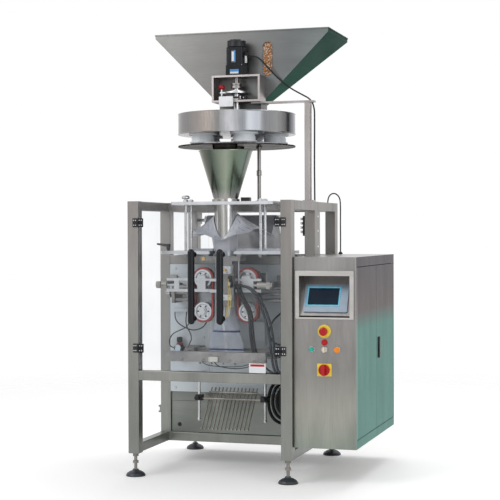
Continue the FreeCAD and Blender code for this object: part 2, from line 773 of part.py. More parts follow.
def fixed_leaf(z):
    h = door_hinge_height / 2
    third = door_hinge_height / 3
    x = hinge_x
    leaf = rounded(box(x + 1.5, x + hinge_leaf_width, -hinge_leaf_thickness, 0, z - h, z + h), 2, 1)
    leaf = leaf.cut(rod_z(x, hinge_y, z - third / 2 - 0.3, z + third / 2 + 0.3,
                          hinge_barrel_radius + 0.5))
    solids = [leaf]
    solids.append(hinge_knuckle(z - h, z - third / 2 - 0.3, "fixed"))
    solids.append(hinge_knuckle(z + third / 2 + 0.3, z + h, "fixed"))
    solids.append(rod_z(x, hinge_y, z - h, z + h, hinge_pin_radius))
    leaf = fused(solids)
    for dx in (11, 21):
        for dz in (-12, 12):
            head = turned_y([(0, -hinge_leaf_thickness - 1), (2.5, -hinge_leaf_thickness - 1),
                             (3.5, -hinge_leaf_thickness), (0, -hinge_leaf_thickness)], x + dx, z + dz)
            leaf = fused([leaf, head])
    return leaf


def fixed_hinge_leaves():
    right = [fixed_leaf(z) for z in door_hinge_z]
    return group(right + [mirrored(leaf) for leaf in right])


def moving_leaf(z):
    h = door_hinge_height / 2
    third = door_hinge_height / 3
    x = hinge_x
    leaf = rounded(box(x - hinge_leaf_width, x - 1.5, -hinge_leaf_thickness, 2, z - h, z + h), 2, 1)
    relief = rod_z(x, hinge_y, z - h - 1, z + h + 1, hinge_barrel_radius + 0.5)
    leaf = leaf.cut(relief)
    knuckle = hinge_knuckle(z - third / 2, z + third / 2, "moving")
    leaf = fused([leaf, knuckle])
    for dx in (9, 20):
        for dz in (-12, 12):
            head = rod_y(x - dx, -hinge_leaf_thickness - 1.2, -hinge_leaf_thickness, z + dz, 3.2)
            leaf = fused([leaf, head])
    return leaf


def door_handle():
    # round grip bar with domed ends on two stand-offs that are screwed through the pane
    x = handle_spacing / 2
    r = handle_width / 2
    y = handle_front + r
    dome = [(r * math.sin(math.radians(15 * i)), -r * math.cos(math.radians(15 * i)))
            for i in range(7)]
    z0, z1 = handle_bottom + r, handle_top - r
    profile = [(a, z0 + b) for a, b in dome] + [(a, z1 - b) for a, b in reversed(dome)]
    pieces = [turned(profile, x, y)]
    for z in (handle_bottom + 27, handle_top - 27):
        pieces.append(rod_y(x, y, -3, z, 8))
        pieces.append(rod_y(x, -3, 2, z, 14))
    return fused(pieces)


def handle_screws():
    x = handle_spacing / 2
    pieces = []
    for z in (handle_bottom + 27, handle_top - 27):
        pieces.append(rod_y(x, 2 + pane_thickness, 2 + pane_thickness + 3, z, 8))
    return pieces


def door_fittings(side):
    solids = [moving_leaf(z) for z in door_hinge_z] + [door_handle()] + handle_screws()
    return group(solids if side > 0 else [mirrored(s) for s in solids])


# ---------------------------------------------------------------- forming set
def forming_stand():
    y0 = plate_front_y
    top = box(-upper_plate_half_width, upper_plate_half_width, y0, mid_post_y, upper_plate_z,
              frame_top)
    top = rounded(top, 6, 2)
    bore = forming_tube_radius + seam_gap
    top = top.cut(rod_z(0, forming_axis_y, upper_plate_z - 1, frame_top + 1, bore))
    low = box(-lower_plate_half_width, lower_plate_half_width, y0, mid_post_y + rail_size,
              lower_plate_z, lower_plate_top)
    low = rounded(low, 6, 2)
    notch = forming_tube_radius + 6
    low = low.cut(rod_z(0, forming_axis_y, lower_plate_z - 1, lower_plate_top + 1, notch))
    low = low.cut(box(-notch, notch, y0 - 1, forming_axis_y, lower_plate_z - 1, lower_plate_top + 1))
    rods = []
    for x in (-plate_rod_x, plate_rod_x):
        for y in (plate_rod_front_y, plate_rod_rear_y):
            hole = rod_z(x, y, lower_plate_z - 1, frame_top + 1, plate_rod_radius + running_gap)
            top = top.cut(hole)
            low = low.cut(hole)
            rods.append(fused([rod_z(x, y, lower_plate_z - 16, frame_top + 14, plate_rod_radius),
                               hex_nut_z(x, y, lower_plate_z - 12, lower_plate_z, 24, 0),
                               hex_nut_z(x, y, frame_top, frame_top + 10, 24, 0)]))
    spacers = []
    for x in (-270, 0, 270):
        spacers.append(box(x - 30, x + 30, mid_post_y + 4, mid_post_y + rail_size - 4, mid_beam_top,
                           lower_plate_z))
    eye = turned([(0, 0), (17, 0), (21, 5), (21, 11), (14, 17), (0, 18)], -plate_rod_x,
                 plate_rod_front_y)
    eye.translate(Vector(0, 0, frame_top + 14))
    block = rounded(box(76, 122, 288, 322, frame_top, frame_top + 21), 3, 2)
    column = rod_z(-170, 238, lower_plate_top, upper_plate_z - 52, 7)
    cylinders = []
    for side in (-1, 1):
        body = rod_y(side * 86, 214, 304, lower_plate_z - 22, 14)
        body = fused([body, box(side * 86 - 12, side * 86 + 12, 222, 296, lower_plate_z - 22,
                                lower_plate_z)])
        if side > 0:
            # drop rod with the clip that holds the cables in front of the right belt
            body = fused([body, rod_z(84, 227, 940, lower_plate_z - 34, 4),
                          box(70, 102, 206, 231, cable_clip_z, cable_clip_z + 14)])
        body = body.cut(rod_y(side * 86, 213, 298, lower_plate_z - 22, 6 + running_gap))
        cylinders.append(body)
    return group([top, low, eye, block, column] + rods + spacers + cylinders)


def forming_tube():
    r = forming_tube_radius
    wall = forming_tube_wall
    profile = [(r - wall, forming_tube_bottom), (r, forming_tube_bottom + 1), (r, frame_top),
               (r + 12, frame_top), (r + 12, frame_top + 12), (r - wall, frame_top + 12)]
    tube = turned(profile, 0, forming_axis_y)
    for i in range(4):
        angle = math.radians(45 + 90 * i)
        x = (r + 8) * math.cos(angle)
        y = forming_axis_y + (r + 8) * math.sin(angle)
        tube = fused([tube, rod_z(x, y, frame_top + 11, frame_top + 14.5, 2.8)])
    return tube


def collar_curve(radius_of, height_of):
    points = []
    count = 24
    for i in range(count):
        turn = 360.0 * i / count
        angle = math.radians(turn)
        r, z = radius_of(turn), height_of(turn)
        points.append(Vector(r * math.sin(angle), forming_axis_y - r * math.cos(angle), z))
    curve = Part.BSplineCurve()
    curve.interpolate(Points=points, PeriodicFlag=True)
    return curve.toShape()


def blended(stops, turn):
    # smooth value between (angle, value) stops, the same on the left and on the right
    turn = min(turn, 360.0 - turn)
    for (a0, v0), (a1, v1) in zip(stops, stops[1:]):
        if turn <= a1:
            t = (turn - a0) / (a1 - a0)
            t = t * t * (3 - 2 * t)
            return v0 + (v1 - v0) * t
    return stops[-1][1]


def forming_collar():
    inner = forming_tube_radius + film_gap
    sheet = collar_sheet
    bottom = lower_plate_top
    shoulder = [(0, collar_low_z), (90, collar_low_z + 0.78 * (collar_high_z - collar_low_z)),
                (180, collar_high_z)]
    reach = [(0, inner + 17), (30, inner + 46), (60, inner + 88), (90, inner + 100),
             (120, inner + 196), (150, inner + 165), (180, inner + 150)]
    edge = [(0, collar_low_z - 12), (60, 1204), (90, 1226), (120, 1186), (150, 1206), (180, 1236)]

    def height(turn):
        return blended(shoulder, turn)

    rings = [
        (lambda t: inner, lambda t: bottom),
        (lambda t: inner, height),
        (lambda t: blended(reach, t), lambda t: blended(edge, t)),
        (lambda t: blended(reach, t), lambda t: blended(edge, t) - sheet * 1.3),
        (lambda t: inner + sheet, lambda t: height(t) - sheet * 1.6),
        (lambda t: inner + sheet, lambda t: bottom),
    ]
    edges = [collar_curve(r, z) for r, z in rings]
    faces = []
    for i in range(len(edges)):
        faces.append(Part.makeRuledSurface(edges[i], edges[(i + 1) % len(edges)]))
    shell = Part.makeShell(faces)
    shell.sewShape()
    solid = Part.makeSolid(Part.Shell(shell.Faces))
    if solid.Volume < 0:
        solid.reverse()
    # foot plate screwed on the lower plate, with stiffening cheeks below the wings
    foot = box(-150, 275, 250, 330, bottom, bottom + 12)
    foot = foot.cut(rod_z(0, forming_axis_y, bottom - 1, bottom + 13, inner + sheet))
    foot = foot.cut(box(-inner, inner, 240, forming_axis_y, bottom - 1, bottom + 13))
    for x in (-plate_rod_x, plate_rod_x):
        foot = foot.cut(rod_z(x, plate_rod_rear_y, bottom - 1, bottom + 13, plate_rod_radius + 3))
    return group([solid, foot])


def discharge_funnel():
    w = funnel_wall
    r0, r1 = funnel_top_radius, funnel_neck_radius
    z0 = frame_top + 12
    cone = 60.0
    outer = [(r1 - w, upper_plate_z - 20), (r1, upper_plate_z - 20), (r1, z0), (cone + w, z0),
             (cone + w, z0 + 4), (r0, funnel_top), (r0 + 3, funnel_top),
             (r0 + 3, funnel_top + 3), (r0 - w, funnel_top + 3), (cone, z0 + 5), (r1 - w, z0 - 14)]
    return turned(outer, 0, forming_axis_y)


def clamp_lever():
    # quick clamp of the forming set at the left of the lower plate: a tapered hub and a rising handle
    x, y = -300.0, 255.0
    hub = turned([(0, 0.4), (6, 0.4), (6, 5), (9, 5), (12.5, 27), (12.5, 32), (9, 36), (0, 36)], x, y)
    hub.translate(Vector(0, 0, lower_plate_top))
    reach = Vector(-1, 0, 0.14)
    handle = Part.makeCone(8, 4.6, 58, Vector(x - 2, y, lower_plate_top + 27), reach)
    end = Vector(x - 2, y, lower_plate_top + 27).add(Vector(reach).normalize() * 58)
    tip = Part.makeCone(4.6, 2.6, 3, end, reach)
    return fused([hub, handle, tip])


# ---------------------------------------------------------------- film pull belts
def guide_bars():
    solids = []
    z_screw = sum(guide_bar_z) / 2
    x0, x1 = 300.0, 316.0
    for side in (-1, 1):
        a, b = sorted((side * x0, side * x1))
        end = box(a, b, guide_bar_y - 16, panel_front, guide_bar_z[0] - 18, guide_bar_z[1] + 18)
        end = end.cut(rod_x(a - 1, b + 1, guide_bar_y, z_screw, 7 + running_gap))
        foot = box(min(a, b - 22), max(b, a + 22), panel_front - 10, panel_front,
                   guide_bar_z[0] - 18, guide_bar_z[1] + 18)
        solids.append(fused([end, foot]))
    for z in guide_bar_z:
        solids.append(rod_x(-x1, x1, guide_bar_y, z, guide_bar_radius))
    return [fused(solids)]


def belt_cylinders():
    solids = []
    y = belt_front - 20
    for side, x0, x1, arm in ((-1, 302.0, 358.0, 332.0), (1, 178.0, 257.0, 228.0)):
        a, b = sorted((side * x0, side * x1))
        barrel = rod_x(a, b, y, belt_cylinder_z, belt_cylinder_radius)
        c, d = sorted((side * arm, side * (arm + 20)))
        clamp = box(c, d, y - 22, y + 22, belt_cylinder_z - 17, belt_cylinder_z + 17)
        bracket = box(c, d, y + 16, panel_front, belt_cylinder_z - 3, belt_cylinder_z + 17)
        foot = box(c - 8, d + 8, panel_front - 8, panel_front, belt_cylinder_z - 3,
                   belt_cylinder_z + 45)
        body = fused([barrel, clamp, bracket, foot])
        e, f = sorted((side * (x0 - 1), side * (x1 - 2)))
        body = body.cut(rod_x(e, f, y, belt_cylinder_z, 5 + running_gap))
        solids.append(body)
    return solids


def jaw_bearings():
    solids = []
    for x in (-jaw_rod_x, jaw_rod_x):
        block = rounded(box(x - 28, x + 28, panel_front - 52, panel_front, jaw_z - 28, jaw_z + 28),
                        4, 1)
        flange = rounded(box(x - 44, x + 44, panel_front - 12, panel_front, jaw_z - 28,
                             jaw_z + 28), 3, 1)
        block = fused([block, flange])
        block = block.cut(rod_y(x, panel_front - 53, panel_front + 1, jaw_z,
                                jaw_rod_radius + running_gap))
        for dx in (-36, 36):
            for dz in (-19, 19):
                head = hex_head_y(x + dx, panel_front - 16, panel_front - 12, jaw_z + dz, 9)
                block = fused([block, head])
        solids.append(block)
    return solids


def panel_brackets():
    return group(guide_bars() + belt_cylinders() + jaw_bearings())


def belt_carriage(side):
    # modelled for the right side; the left one is its mirror image except for the front frame
    x = pulley_x
    y0, y1 = belt_back + belt_plate_gap, belt_back + belt_plate_gap + belt_plate_thickness
    plate = rounded(box(x - 33, x + 50, y0, y1, 770, 1010), 5, 1)
    block = rounded(box(x - 28, x + 42, y1, guide_bar_y + 20, guide_bar_z[0] - 18,
                        guide_bar_z[1] + 18), 3, 0)
    z_screw = sum(guide_bar_z) / 2
    housing = rod_y(x, y1, panel_back + 13, upper_pulley_z, 18)
    gear = rounded(box(x - 35, x + 35, panel_back + 13, panel_back + 93, upper_pulley_z - 35,
                       upper_pulley_z + 35), 4, 1)
    motor = rod_y(x, panel_back + 93, belt_motor_back, upper_pulley_z, 33)
    front = belt_front - 26
    shaft_top = rod_y(x, front + 12, y0, upper_pulley_z, pulley_shaft_radius)
    shaft_low = rod_y(x, belt_front - 8, y0, lower_pulley_z, pulley_shaft_radius)
    cap_top = rod_y(x, front + 12, belt_front - 0.5, upper_pulley_z, 14)
    cap_low = rod_y(x, belt_front - 9, belt_front - 0.5, lower_pulley_z, 14)
    collars = [rod_y(x, belt_back + 0.5, y0, z, 13) for z in (upper_pulley_z, lower_pulley_z)]
    body = fused([plate, block, housing, gear, motor, shaft_top, shaft_low, cap_top, cap_low]
                 + collars)
    for z in guide_bar_z:
        body = body.cut(rod_x(x - 40, x + 60, guide_bar_y, z, guide_bar_radius + running_gap))
    body = body.cut(rod_x(x - 40, x + 60, guide_bar_y, z_screw, 7 + running_gap))
    # white adjusting frame in front of the pulleys, pushed by an air cylinder
    if side < 0:
        x0, x1, web0, web1, rod_end = 62.0, 302.0, 237.0, 263.0, 335.0
    else:
        x0, x1, web0, web1, rod_end = 62.0, 197.0, 131.0, 157.0, 225.0
    bars = []
    for z0, z1 in ((961, 974), (905, 920)):
        bars.append(rounded(box(x0, x1, front, front + 12, z0, z1), 2, 0))
    bars.append(box(web0, web1, front, front + 12, 905, 974))
    bars.append(box(x - 22, x + 22, front + 2, front + 12, 920, 986))
    bars.append(rod_x(web1 - 2, rod_end, belt_front - 20, belt_cylinder_z, 5))
    body = fused([body] + bars)
    return body if side > 0 else mirrored(body)


def pull_belt(side):
    x = pulley_x
    z0, z1 = lower_pulley_z, upper_pulley_z
    y0, y1 = belt_front + 1, belt_back - 1

    def stadium(r, a, b):
        lower = rod_y(x, a, b, z0, r)
        upper = rod_y(x, a, b, z1, r)
        return fused([lower, upper, box(x - r, x + r, a, b, z0, z1)])

    outer = stadium(belt_outer_radius, y0, y1)
    inner = stadium(pulley_radius + belt_seat_gap, y0 - 1, y1 + 1)
    belt = outer.cut(inner)
    return belt if side > 0 else mirrored(belt)


def pull_pulley(side, z):
    r = pulley_radius
    y0, y1 = belt_front, belt_back
    profile = [(pulley_shaft_radius + running_gap, y0 + 1), (20, y0 + 1), (22, y0 + 6),
               (34, y0 + 6), (37, y0), (r, y0), (r, y1), (pulley_shaft_radius + running_gap, y1)]
    pulley = turned_y(profile, pulley_x, z)
    for i in range(6):
        angle = math.radians(60 * i)
        px = pulley_x + 28 * math.cos(angle)
        pz = z + 28 * math.sin(angle)
        pulley = pulley.cut(rod_y(px, y0 - 1, y1 + 1, pz, 4.5))
    return pulley if side > 0 else mirrored(pulley)


def adjusting_screw():
    z = sum(guide_bar_z) / 2
    stem = rod_x(-352, 322, guide_bar_y, z, 7)
    wheel = rod_x(-346, -326, guide_bar_y, z, 23)
    for i in range(8):
        angle = math.radians(45 * i)
        y = guide_bar_y + 26 * math.cos(angle)
        wheel = wheel.cut(rod_x(-347, -325, y, z + 26 * math.sin(angle), 6))
    collar = rod_x(316.5, 322, guide_bar_y, z, 12)
    inner = rod_x(-325.5, -316.5, guide_bar_y, z, 12)
    return fused([stem, wheel, collar, inner])


# ---------------------------------------------------------------- vertical sealer
def vertical_sealer():
    face = forming_axis_y - forming_tube_radius - sealer_gap
    z0, z1 = sealer_bar_bottom, sealer_bar_top
    w = sealer_bar_width / 2
    bar = box(-w, w, face - 14, face, z0, z1)
    bar = soften(bar, 3, lambda e: along(e, 0) and e.BoundBox.YMin > face - 1)
    back = rounded(box(-16, 70, face - 30, face - 14, z0 + 6, z1 - 4), 4, 1)
    cover = rounded(box(22, 64, face - 62, face - 30, 1000, z1 - 8), 4, 1)
    low_cover = rounded(box(-10, 62, face - 48, face - 30, 868, 896), 3, 1)
    cross = []
    for a, b in ((961, 974), (905, 920)):
        cross.append(box(-57, 57, face - 26, face - 14, a, b))
    upright = box(-14, 62, face - 30, face - 14, z1 - 6, lower_plate_z - 10)
    z = lower_plate_z - 22
    beam = rounded(box(-104, 104, face - 32, face - 14, z - 12, z + 12), 3, 1)
    rods = [rod_y(side * 86, face - 20, 288, z, 6) for side in (-1, 1)]
    knobs = [rod_y(side * 86, face - 38, face - 32, z, 9) for side in (-1, 1)]
    fittings = [rod_y(40, face - 74, face - 62, 1018, 7), rod_z(-4, face - 39, 896, 912, 6)]
    return fused([bar, back, cover, low_cover, upright, beam] + cross + rods + knobs + fittings)


# ---------------------------------------------------------------- cross jaws
def front_jaw():
    z0, z1 = jaw_z - jaw_height / 2, jaw_z + jaw_height / 2
    w = jaw_beam_half_width
    y0, y1 = jaw_beam_y, jaw_beam_y + jaw_beam_thickness
    beam = rounded(box(-w, w, y0, y1, z0, z1), 4, 1)
    face = front_jaw_face
    h = jaw_face_height / 2
    block = box(-jaw_face_half_width, jaw_face_half_width, face - 40, face, jaw_z - h, jaw_z + h)
    block = soften(block, 3, lambda e: along(e, 0) and e.BoundBox.YMax > face - 0.1)
    block = block.cut(box(-105, 105, face - 20, face + 1, jaw_z - 3, jaw_z + 3))
    spacers = [rod_y(x, y1, face - 40, jaw_z, 14) for x in (-84, 84)]
    rods = [rod_y(x, y0, yoke_y + yoke_thickness, jaw_z, jaw_rod_radius) for x in
            (-jaw_rod_x, jaw_rod_x)]
    yoke = rounded(box(-w, w, yoke_y, yoke_y + yoke_thickness, z0, z1), 4, 1)
    cylinder = rod_y(0, 470, yoke_y, jaw_z, jaw_cylinder_radius)
    cylinder = fused([cylinder, rounded(box(-32, 32, 470, 488, jaw_z - 32, jaw_z + 32), 5, 1)])
    cylinder = cylinder.cut(rod_y(0, 469, yoke_y - 6, jaw_z, piston_rod_radius + running_gap))
    jaw = fused([beam, block, yoke, cylinder] + spacers + rods)
    extras = []
    for x in (-172, -61, 76, 201):
        extras.append(hex_head_y(x, y0 - 7, y0, jaw_z - 14, 14))
    terminal = rounded(box(-30, 17, y0 - 12, y0, jaw_z - 22, jaw_z + 2), 3, 1)
    return group([fused([jaw, terminal] + extras)])


def rear_jaw():
    face = rear_jaw_face
    h = jaw_face_height / 2
    block = box(-jaw_face_half_width, jaw_face_half_width, face, face + 23, jaw_z - h, jaw_z + h)
    block = soften(block, 3, lambda e: along(e, 0) and e.BoundBox.YMin < face + 0.1)
    plate = box(-190, 190, face + 53, face + 63, jaw_z - 22, jaw_z + 22)
    spacers = [box(side * 109 - 9, side * 109 + 9, face + 23, face + 53, jaw_z - 14, jaw_z + 14)
               for side in (-1, 1)]
    bushes = []
    for x in (-jaw_rod_x, jaw_rod_x):
        bushes.append(rounded(box(x - 26, x + 26, face + 5, face + 63, jaw_z - 24, jaw_z + 24), 5, 1))
    rod = rod_y(0, face + 60, 588, jaw_z, piston_rod_radius)
    jaw = fused([block, plate, rod] + spacers + bushes)
    for x in (-jaw_rod_x, jaw_rod_x):
        jaw = jaw.cut(rod_y(x, face, face + 70, jaw_z, jaw_rod_radius + running_gap))
    slot = knife_thickness / 2 + sliding_gap
    jaw = jaw.cut(box(-98, 98, face - 1, face + 24, jaw_z - slot, jaw_z + slot))
    for x in (-60, 60):
        jaw = jaw.cut(rod_y(x, face + 50, face + 70, jaw_z, 4 + running_gap))
    return jaw


def knife_blade():
    face = rear_jaw_face
    t = knife_thickness / 2
    teeth = [(-95, face + 6, jaw_z - t)]
    count = 19
    for i in range(count):
        x = -95 + 190.0 * i / count
        teeth.append((x + 95.0 / count, face + 2, jaw_z - t))
        teeth.append((x + 190.0 / count, face + 6, jaw_z - t))
    teeth += [(95, face + 42, jaw_z - t), (-95, face + 42, jaw_z - t)]
    blade = prism(teeth, (0, 0, knife_thickness))
    bar = box(-92, 92, face + 39, face + 47, jaw_z - 8, jaw_z + 8)
    pins = [rod_y(x, face + 46, face + 70, jaw_z, 4) for x in (-60, 60)]
    return fused([blade, bar] + pins)


# ---------------------------------------------------------------- film roll and rollers
def film_stand():
    solids = []
    low = post_bottom + rail_size
    half = film_width / 2
    bars = []
    for y0 in (film_roll_y - 55, film_roll_y + 25):
        bars.append(box(-half_width + rail_size, half_width - rail_size, y0, y0 + 30, low - 30, low))
    for side in (-1, 1):
        a, b = sorted((side * (half + 40), side * (half + 50)))
        cheek = prism([(a, film_roll_y - 70, low), (a, film_roll_y + 70, low),
                       (a, film_roll_y + 32, film_roll_z + 30), (a, film_roll_y - 32, film_roll_z + 30)],
                      (b - a, 0, 0))
        cheek = cheek.cut(rod_x(a - 1, b + 1, film_roll_y, film_roll_z, film_shaft_radius + running_gap))
        slot = film_shaft_radius + running_gap
        cheek = cheek.cut(box(a - 1, b + 1, film_roll_y - slot, film_roll_y + slot, film_roll_z,
                              film_roll_z + 40))
        bars.append(cheek)
        # brackets of the dancer pivot on the rear beam and of the guide roller on the middle beam
        hanger = box(a, b, dancer_pivot_y - 20, frame_depth - rail_size, dancer_pivot_z - 20,
                     mid_beam_top - 6)
        hanger = hanger.cut(rod_x(a - 1, b + 1, dancer_pivot_y, dancer_pivot_z, 8 + running_gap))
        solids.append(hanger)
        arm = box(a, b, mid_post_y + rail_size, guide_roller_y() + 20, guide_roller_z() - 20,
                  frame_top - 4)
        arm = arm.cut(rod_x(a - 1, b + 1, guide_roller_y(), guide_roller_z(), 8 + running_gap))
        solids.append(arm)
    return group([fused(bars)] + solids)


def guide_roller_y():
    return mid_post_y + rail_size + 60


def guide_roller_z():
    return frame_top - 90


def film_roll():
    half = film_width / 2
    roll = ring_x(-half, half, film_roll_y, film_roll_z, film_roll_radius, 38)
    core = ring_x(-half - 3, half + 3, film_roll_y, film_roll_z, 38, 34)
    shaft = rod_x(-half - 62, half + 62, film_roll_y, film_roll_z, film_shaft_radius)
    solids = [roll, core]
    hubs = [shaft]
    for side in (-1, 1):
        a, b = sorted((side * (half - 20), side * (half + 12)))
        hubs.append(rod_x(a, b, film_roll_y, film_roll_z, 34))
        a, b = sorted((side * (half + 3), side * (half + 12)))
        hubs.append(rod_x(a, b, film_roll_y, film_roll_z, 50))
        a, b = sorted((side * (half + 52), side * (half + 62)))
        hubs.append(rod_x(a, b, film_roll_y, film_roll_z, 24))
    return group(solids + [fused(hubs)])


def dancer_arm():
    half = film_width / 2
    shaft = rod_x(-half - 56, half + 56, dancer_pivot_y, dancer_pivot_z, 8)
    end_y = dancer_pivot_y - dancer_length * 0.9
    end_z = dancer_pivot_z - dancer_length * 0.436
    solids = [shaft]
    angle = math.degrees(math.atan2(dancer_pivot_z - end_z, dancer_pivot_y - end_y))
    for side in (-1, 1):
        a, b = sorted((side * (half + 14), side * (half + 22)))
        arm = box(a, b, -dancer_length - 14, 16, -12, 12)
        arm = rounded(arm, 11, 0)
        arm.rotate(Vector(0, 0, 0), Vector(1, 0, 0), angle)
        arm.translate(Vector(0, dancer_pivot_y, dancer_pivot_z))
        solids.append(arm)
    solids.append(rod_x(-half - 16, half + 16, end_y, end_z, 6))
    roller = rod_x(-half - 6, half + 6, end_y, end_z, roller_radius)
    return fused(solids + [roller])


def guide_roller():
    half = film_width / 2
    y, z = guide_roller_y(), guide_roller_z()
    roller = rod_x(-half - 12, half + 12, y, z, roller_radius)
    shaft = rod_x(-half - 54, half + 54, y, z, 8)
    return fused([roller, shaft])


# ---------------------------------------------------------------- hopper and filler
def hopper_solid(inset):
    # rectangular mouth with an upright front, a sloping body and a straight neck
    i = inset
    y0 = hopper_front_y + i
    depth_out = hopper_outlet_depth - 2 * i
    levels = [
        (hopper_half_width - i, hopper_depth - 2 * i, hopper_top),
        (hopper_half_width - i, hopper_depth - 2 * i, hopper_top - 22),
        (157.0 - i, 150.0 - 2 * i, hopper_bottom + 45),
        (hopper_outlet_half_width - i, depth_out, hopper_bottom),
        (hopper_outlet_half_width - i, depth_out, hopper_neck_bottom),
    ]
    wires = []
    for half, depth, z in levels:
        corners = [Vector(-half, y0, z), Vector(half, y0, z), Vector(half, y0 + depth, z),
                   Vector(-half, y0 + depth, z)]
        wires.append(Part.makePolygon(corners + corners[:1]))
    return Part.makeLoft(wires, True, True)


def hopper():
    body = hopper_solid(0)
    hollow = hopper_solid(hopper_wall)
    w = hopper_half_width - hopper_wall
    lid = box(-w, w, hopper_front_y + hopper_wall, hopper_front_y + hopper_depth - hopper_wall,
              hopper_top - 2, hopper_top + 1)
    foot = hopper_outlet_half_width - hopper_wall
    base = box(-foot, foot, hopper_front_y + hopper_wall,
               hopper_front_y + hopper_outlet_depth - hopper_wall, hopper_neck_bottom - 1,
               hopper_neck_bottom + 2)
    body = body.cut(fused([hollow, lid, base]))
    r = hopper_rim
    x, y0, y1 = hopper_half_width, hopper_front_y, hopper_front_y + hopper_depth
    rim = box(-x - r, x + r, y0 - r, y1 + r, hopper_top - 7, hopper_top)
    rim = rounded(rim, 2.5, 2)
    rim = rim.cut(box(-x + 3, x - 3, y0 + 3, y1 - 3, hopper_top - 8, hopper_top + 1))
    window = box(window_x - window_width / 2, window_x + window_width / 2, y0 - 1, y0 + 5,
                 window_bottom, window_top)
    window = rounded(window, window_width / 2 - 0.5, 1)
    body = fused([body, rim]).cut(window)
    return body


def sight_window():
    y0 = hopper_front_y
    edge = 3.5
    x0, x1 = window_x - window_width / 2 - edge, window_x + window_width / 2 + edge
    frame = rounded(box(x0, x1, y0 - 4, y0, window_bottom - edge, window_top + edge),
                    window_width / 2 + 2, 1)
    inner = rounded(box(x0 + edge, x1 - edge, y0 - 5, y0 - 2, window_bottom, window_top),
                    window_width / 2 - 1, 1)
    return frame.cut(inner)


def filler_support():
    x0, x1 = bracket_left, bracket_right
    y0, y1 = bracket_front_y, hopper_front_y
    z0, z1 = bracket_bottom, bracket_top
    t = bracket_plate
    frame = box(x0, x1, y0, y1, z0, z1)
    frame = frame.cut(box(x0 + t, x1 - t, y0 - 1, y1 + 1, z0 + t, z1 - t))
    shaft_hole = rod_z(0, turntable_y, z0 - 20, z0 + t + 20, filler_shaft_radius + running_gap)
    frame = frame.cut(rod_z(0, turntable_y, z1 - t - 1, z1 + 1, 20))
    flange = turned([(0, 0), (48, 0), (48, 8), (30, 12), (30, 20), (0, 20)], 0, turntable_y)
    flange.translate(Vector(0, 0, z0 + t))
    bolts = []
    for i in range(4):
        angle = math.radians(45 + 90 * i)
        bolts.append(rod_z(39 * math.cos(angle), turntable_y + 39 * math.sin(angle), z0 + t,
                           z0 + t + 14, 4))
    frame = frame.cut(shaft_hole)
    plates = []
    for cell in (box(x0 - 1, x0 + t, y0, y1, z0, z1), box(x1 - t, x1 + 1, y0, y1, z0, z1),
                 box(x0 + t, x1 - t, y0, y1, z0, z0 + t), box(x0 + t, x1 - t, y0, y1, z1 - t, z1)):
        plates += frame.common(cell).Solids
    bearing = fused([flange] + bolts).cut(shaft_hole)
    block = rounded(box(-76, 0, y0 - 16, y0, z0 - 24, z0 + 28), 3, 1)
    # post and arm at the right
    px = 377.0
    py = turntable_y + 14
    w, d = filler_post_width / 2, filler_post_depth / 2
    post = rounded(box(px - w, px + w, py - d, py + d, frame_top, z0 - filler_arm_thickness), 3, 2)
    foot = box(px - w - 10, half_width - 10, py - d - 2, py + d, frame_top, frame_top + 8)
    arm = rounded(box(x1 - 60, 412, py - d - 4, py + d + 4, z0 - filler_arm_thickness, z0), 6, 2)
    # two thin posts under the fixed disc
    posts = []
    disc_low = base_disc_z - base_disc_thickness
    rise = disc_low - 12 - frame_top
    c0, c1, c2, c3 = (frame_top + rise * share for share in (0.496, 0.504, 0.599, 0.607))
    for x in (-support_post_x, support_post_x):
        y = turntable_y + 12
        profile = [(0, frame_top), (19, frame_top), (19, frame_top + 8), (support_post_radius, frame_top + 8),
                   (support_post_radius, c0), (13, c1), (13, c2), (support_post_radius, c3),
                   (support_post_radius, disc_low - 12), (16, disc_low - 12), (16, disc_low), (0, disc_low)]
        posts.append(turned(profile, x, y))
    return group([fused([arm, post, foot]), bearing, block] + plates + posts)


def filler_motor():
    y = turntable_y
    h = motor_size / 2
    z0 = bracket_top
    z1 = z0 + gearhead_height
    z2 = z1 + motor_height
    z3 = z2 + fan_cover_height
    gear = rounded(box(-h, h, y - h, y + h, z0, z1), 5, 2)
    body = rounded(box(-h + 2, h - 2, y - h + 2, y + h - 2, z1, z2), 12, 2)
    for i in range(5):
        z = z1 + 12 + 14 * i
        for side in (-1, 1):
            a, b = sorted((side * (h - 5), side * (h + 1)))
            body = body.cut(box(a, b, y - 24, y + 24, z, z + 5))
    cover = turned([(0, z2), (44, z2), (47, z2 + 4), (47, z3 - 10), (40, z3), (0, z3)], 0, y)
    plug = rounded(box(h - 4, h + 18, y - 16, y + 16, z1 + 40, z1 + 66), 3, 1)
    return fused([gear, body, cover, plug])


def base_disc():
    z1 = base_disc_z
    z0 = z1 - base_disc_thickness
    disc = rod_z(0, turntable_y, z0, z1, base_disc_radius)
    disc = disc.cut(rod_z(0, turntable_y - cup_circle_radius, z0 - 1, z1 + 1, 62))
    hub = turned([(16, z1 - 16), (38, z1 - 16), (38, z1 - 6), (38, z1), (34, z1 + 3), (16, z1 + 3)],
                 0, turntable_y)
    disc = fused([disc, hub])
    disc = disc.cut(rod_z(0, turntable_y, z0 - 30, z1 + 30, filler_shaft_radius + running_gap))
    chute = turned([(62, z0), (64, z0), (60, z0 - 26), (58, z0 - 26)], 0,
                   turntable_y - cup_circle_radius)
    return fused([disc, chute])


def cup_positions():
    places = []
    for i in range(cup_count):
        angle = math.radians(cup_angle + 360.0 / cup_count * i)
        x = cup_circle_radius * math.sin(angle)
        y = turntable_y - cup_circle_radius * math.cos(angle)
        places.append((x, y))
    return places


